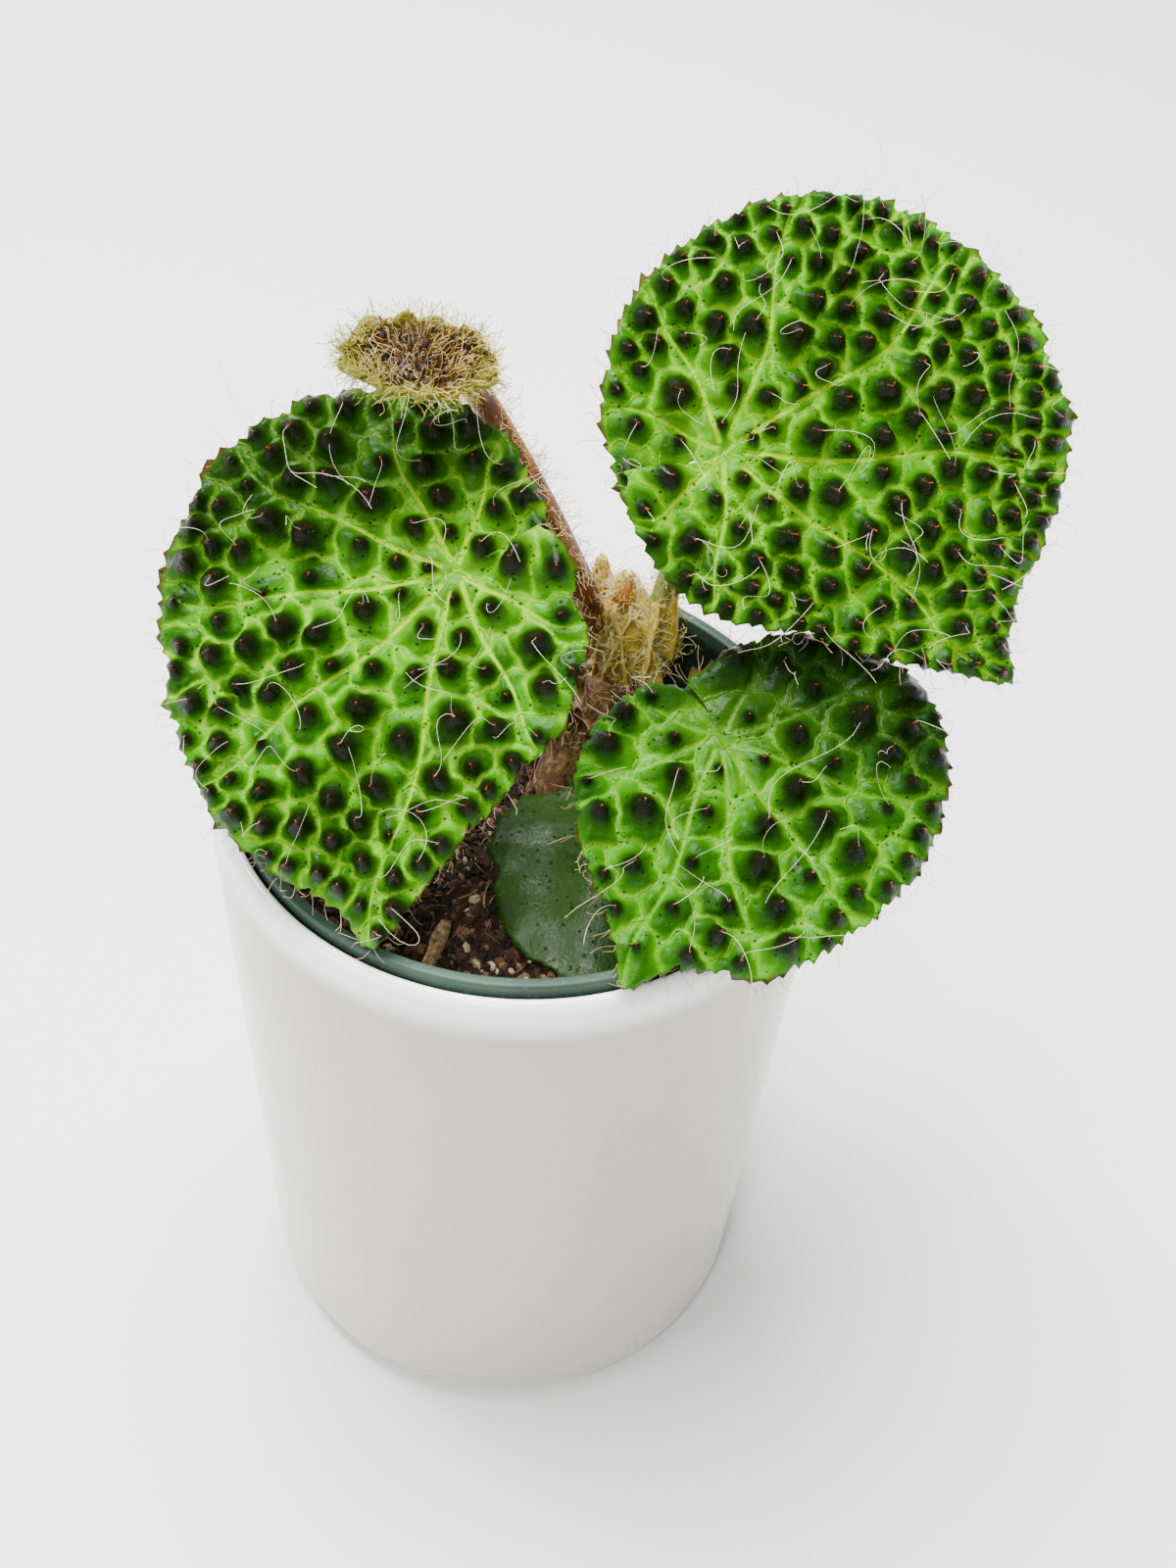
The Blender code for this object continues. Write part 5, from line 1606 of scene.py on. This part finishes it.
def build_crown(look):
    """The golden crown: a lumpy core wrapped in papery stipules, and its wool."""
    rng = random.Random(61)
    centre = Matrix.Translation(metres(CROWN_CENTRE))
    bm = bmesh.new()
    bmesh.ops.create_uvsphere(bm, u_segments=48, v_segments=32, radius=1.0)
    for vert in bm.verts:
        vert.co *= 1.0 + 0.10 * noise.noise(vert.co * 2.2)
    bm.transform(Matrix.Diagonal((*(metres(CROWN_RADII)), 1.0)))
    bm.transform(centre)
    meshes = [mesh_of("core", bm)]
    for index in range(look.stipules):
        turn = math.tau * (index + 0.3 * rng.random()) / look.stipules
        row = index % 3
        shift = Matrix.Translation(Vector((
            0.0, -(5.9 - 0.5 * row) * MM, (-7.0 + 3.4 * row) * MM
        )))
        length = look.stipule_length * rng.uniform(0.82, 1.05)
        meshes.append(papery_scale(
            length, 13.0 * MM, 1.5 * MM, 0.5 * MM,
            centre @ Matrix.Rotation(turn, 4, "Z") @ shift @ rotation(-4.0 + 9.0 * row, "X"), index,
        ))
    mesh = joined("crown_papery", meshes)
    golden = papery("Golden papery stipule", "#8C760E", "#BE9F24", "#E8CE5C", 0.2)
    roots, ways = surface_roots(mesh, look.wool, 62)
    add_piece("crown_papery", mesh, [golden], "crown_stipules")
    wool = hair_material("Golden crown wool", "#B09A44", "#F0E2A8")
    hairs("crown_wool", roots, ways, wool, 63, Length=3.8 * MM, Thickness=0.055 * MM,
          Curl=0.95, Spread=0.7, Steps=8, Curl_Scale=420.0)
    return wool


def build_rhizome(look):
    """The creeping stem: a dark core, its dried stipules and their tow."""
    rng = random.Random(71)
    path = [metres(point) for point in RHIZOME_PATH]
    meshes = [tube_mesh("rhizome_core", path, 4.6 * MM)]
    for face in meshes[0].polygons:
        face.material_index = 1
    start, end = path[1], path[3]
    axis = (end - start).normalized().to_track_quat("Z", "Y").to_matrix().to_4x4()
    shift = Matrix.Translation(Vector((0.0, -3.6 * MM, -2.0 * MM)))
    for index in range(look.dried):
        along = 0.36 + 0.42 * index / (look.dried - 1)
        spot = start.lerp(end, along) + raised_by(0.8 * MM)
        turn = Matrix.Rotation(index * 2.3 + rng.uniform(-0.3, 0.3), 4, "Z")
        lean = rotation(rng.uniform(14.0, 46.0), "X")
        meshes.append(papery_scale(
            10.0 * MM * rng.uniform(0.7, 1.1), 6.0 * MM, -1.2 * MM, 0.35 * MM,
            Matrix.Translation(spot) @ axis @ turn @ shift @ lean, index + 30,
        ))
    mesh = joined("rhizome_scaly", meshes)
    dried = papery("Dried brown stipule", "#3A2410", "#6E4C24", "#A8854C", 0.1)
    roots, ways = surface_roots(mesh, 380, 72, 131.5 * MM)
    core = papery("Rough dark rhizome bark", "#1E110A", "#3E2716", "#6A4A2E", 0.0)
    add_piece("rhizome_scaly", mesh, [dried, core], "rhizome")
    tow = hair_material("Brown tow", "#6E5028", "#B89A62")
    hairs("rhizome_wool", roots, ways, tow, 73, Length=3.8 * MM, Thickness=0.05 * MM,
          Curl=0.9, Spread=0.7, Steps=7, Curl_Scale=400.0)


def build_bud(wool):
    """The small pleated bud that points out of the crown."""
    bm = bmesh.new()
    bmesh.ops.create_uvsphere(bm, u_segments=40, v_segments=28, radius=1.0)
    for vert in bm.verts:
        taper = 1.0 - 0.35 * max(0.0, vert.co.z)
        pleat = 1.0 + 0.05 * math.cos(5.0 * math.atan2(vert.co.y, vert.co.x))
        vert.co = Vector((
            vert.co.x * 2.5 * taper * pleat, vert.co.y * 2.5 * taper * pleat, vert.co.z * 4.4
        )) * MM
    tilt = rotation(16.0, "Y") @ rotation(-8.0, "X")
    bm.transform(Matrix.Translation(metres(BUD_CENTRE)) @ tilt)
    mesh = mesh_of("bud_fleshy", bm, smooth=True)
    orange = stalk_material("Fleshy orange bud", "#6E3606", "#9A6010", "#BC8C2C")
    roots, ways = surface_roots(mesh, 160, 93)
    add_piece("bud_fleshy", mesh, [orange], "leaf_bud")
    hairs("bud_wool", roots, ways, wool, 94, Length=2.6 * MM, Thickness=0.06 * MM,
          Curl=0.7, Spread=0.6, Steps=6, Curl_Scale=420.0)


class BEGONIA_OT_crown(bpy.types.Operator):
    """Build the rhizome, the golden crown and the bud"""
    bl_idname = "begonia.crown"
    bl_label = "Crown and Rhizome"

    def execute(self, context):
        look = context.scene.begonia_crown
        wool = build_crown(look)
        build_rhizome(look)
        build_bud(wool)
        return {"FINISHED"}


# Stage


class StageLook(bpy.types.PropertyGroup):
    glint_power: number_setting("Window glint", "Power of the small lights", 4.0)
    key_power: number_setting("Key light", "Power of the large overhead softbox", 50.0)
    fill_power: number_setting("Fill light", "Power of the left softbox", 6.5)
    sky: number_setting("Surround", "Strength of the even surround light", 0.60)
    sky_colour: FloatVectorProperty(name="Surround colour", description="Colour all round",
                                    default=(0.93, 0.94, 0.95), subtype="COLOR", size=3)


def softbox(name, place, height, size, power):
    """A square softbox aimed at a height on the plant's axis."""
    light = bpy.data.lights.new(name, "AREA")
    light.shape = "SQUARE"
    light.size = size
    light.energy = power
    obj = linked(name, light)
    obj.location = place
    obj.rotation_euler = (raised_by(height) - Vector(place)).to_track_quat("-Z", "Y").to_euler()


class BEGONIA_OT_stage(bpy.types.Operator):
    """Set the pale floor, the studio light and the camera"""
    bl_idname = "begonia.stage"
    bl_label = "Studio Stage"

    def execute(self, context):
        look = context.scene.begonia_stage
        bm = bmesh.new()
        bmesh.ops.create_circle(bm, cap_ends=True, segments=96, radius=4.0)
        floor = linked("studio_floor", mesh_of("studio_floor", bm))
        floor.data.materials.append(studio_floor())
        softbox("overhead_softbox", (-0.15, 0.20, 1.25), 0.15, 0.75, look.key_power)
        softbox("window_glint", (-0.62, 0.35, 0.95), 0.20, 0.16, look.glint_power)
        softbox("rim_glint", (-0.16, -0.66, 1.00), 0.15, 0.16, 1.5 * look.glint_power)
        softbox("left_softbox", (-1.00, -0.70, 0.75), 0.10, 0.50, look.fill_power)
        world = bpy.data.worlds.new("Even studio surround")
        world.use_nodes = True
        ground = world.node_tree.nodes["Background"]
        ground.inputs["Color"].default_value = (*look.sky_colour, 1.0)
        ground.inputs["Strength"].default_value = look.sky
        context.scene.world = world

        camera = bpy.data.cameras.new("photo_camera")
        camera.sensor_fit = "AUTO"
        camera.sensor_width = CAMERA_SENSOR
        camera.lens = CAMERA_LENS
        camera.clip_start = 0.01
        obj = linked("photo_camera", camera)
        back = -Vector(CAMERA_AIM).normalized()
        right = Vector(CAMERA_UP).cross(back).normalized()
        up = back.cross(right)
        matrix = Matrix((right, up, back)).transposed().to_4x4()
        matrix.translation = Vector(CAMERA_PLACE)
        obj.matrix_world = matrix
        context.scene.camera = obj
        return {"FINISHED"}


class BEGONIA_PT_panel(bpy.types.Panel):
    """Lists the pieces of the potted begonia"""
    bl_idname = "BEGONIA_PT_panel"
    bl_label = "Potted Begonia"
    bl_space_type = "VIEW_3D"
    bl_region_type = "UI"
    bl_category = "Begonia"

    def draw(self, context):
        layout = self.layout
        for operator in OPERATORS:
            layout.operator(operator.bl_idname)
        for name, group in GROUPS:
            box = layout.box()
            box.label(text=group.__name__)
            for key in group.__annotations__:
                box.prop(getattr(context.scene, name), key)


GROUPS = (
    ("begonia_cover", CoverPotSize),
    ("begonia_nursery", NurseryPotSize),
    ("begonia_mix", PottingMixLook),
    ("begonia_blade", BladeLook),
    ("begonia_young", YoungLeafLook),
    ("begonia_stalks", StalkLook),
    ("begonia_crown", CrownLook),
    ("begonia_stage", StageLook),
)
OPERATORS = (
    BEGONIA_OT_stage, BEGONIA_OT_cover_pot, BEGONIA_OT_nursery_pot, BEGONIA_OT_potting_mix,
    BEGONIA_OT_bark_chip, BEGONIA_OT_bullate_leaves, BEGONIA_OT_juvenile_leaf,
    BEGONIA_OT_young_leaf, BEGONIA_OT_stalks, BEGONIA_OT_crown,
)


def register():
    for name, group in GROUPS:
        bpy.utils.register_class(group)
        setattr(bpy.types.Scene, name, PointerProperty(type=group))
    for operator in OPERATORS:
        bpy.utils.register_class(operator)
    bpy.utils.register_class(BEGONIA_PT_panel)


def unregister():
    bpy.utils.unregister_class(BEGONIA_PT_panel)
    for operator in reversed(OPERATORS):
        bpy.utils.unregister_class(operator)
    for name, group in reversed(GROUPS):
        delattr(bpy.types.Scene, name)
        bpy.utils.unregister_class(group)


def main():
    register()
    bpy.ops.begonia.stage()
    bpy.ops.begonia.cover_pot()
    bpy.ops.begonia.nursery_pot()
    bpy.ops.begonia.potting_mix()
    bpy.ops.begonia.bark_chip()
    bpy.ops.begonia.bullate_leaves()
    bpy.ops.begonia.juvenile_leaf()
    bpy.ops.begonia.young_leaf()
    bpy.ops.begonia.stalks()
    bpy.ops.begonia.crown()


if __name__ == "__main__":
    main()
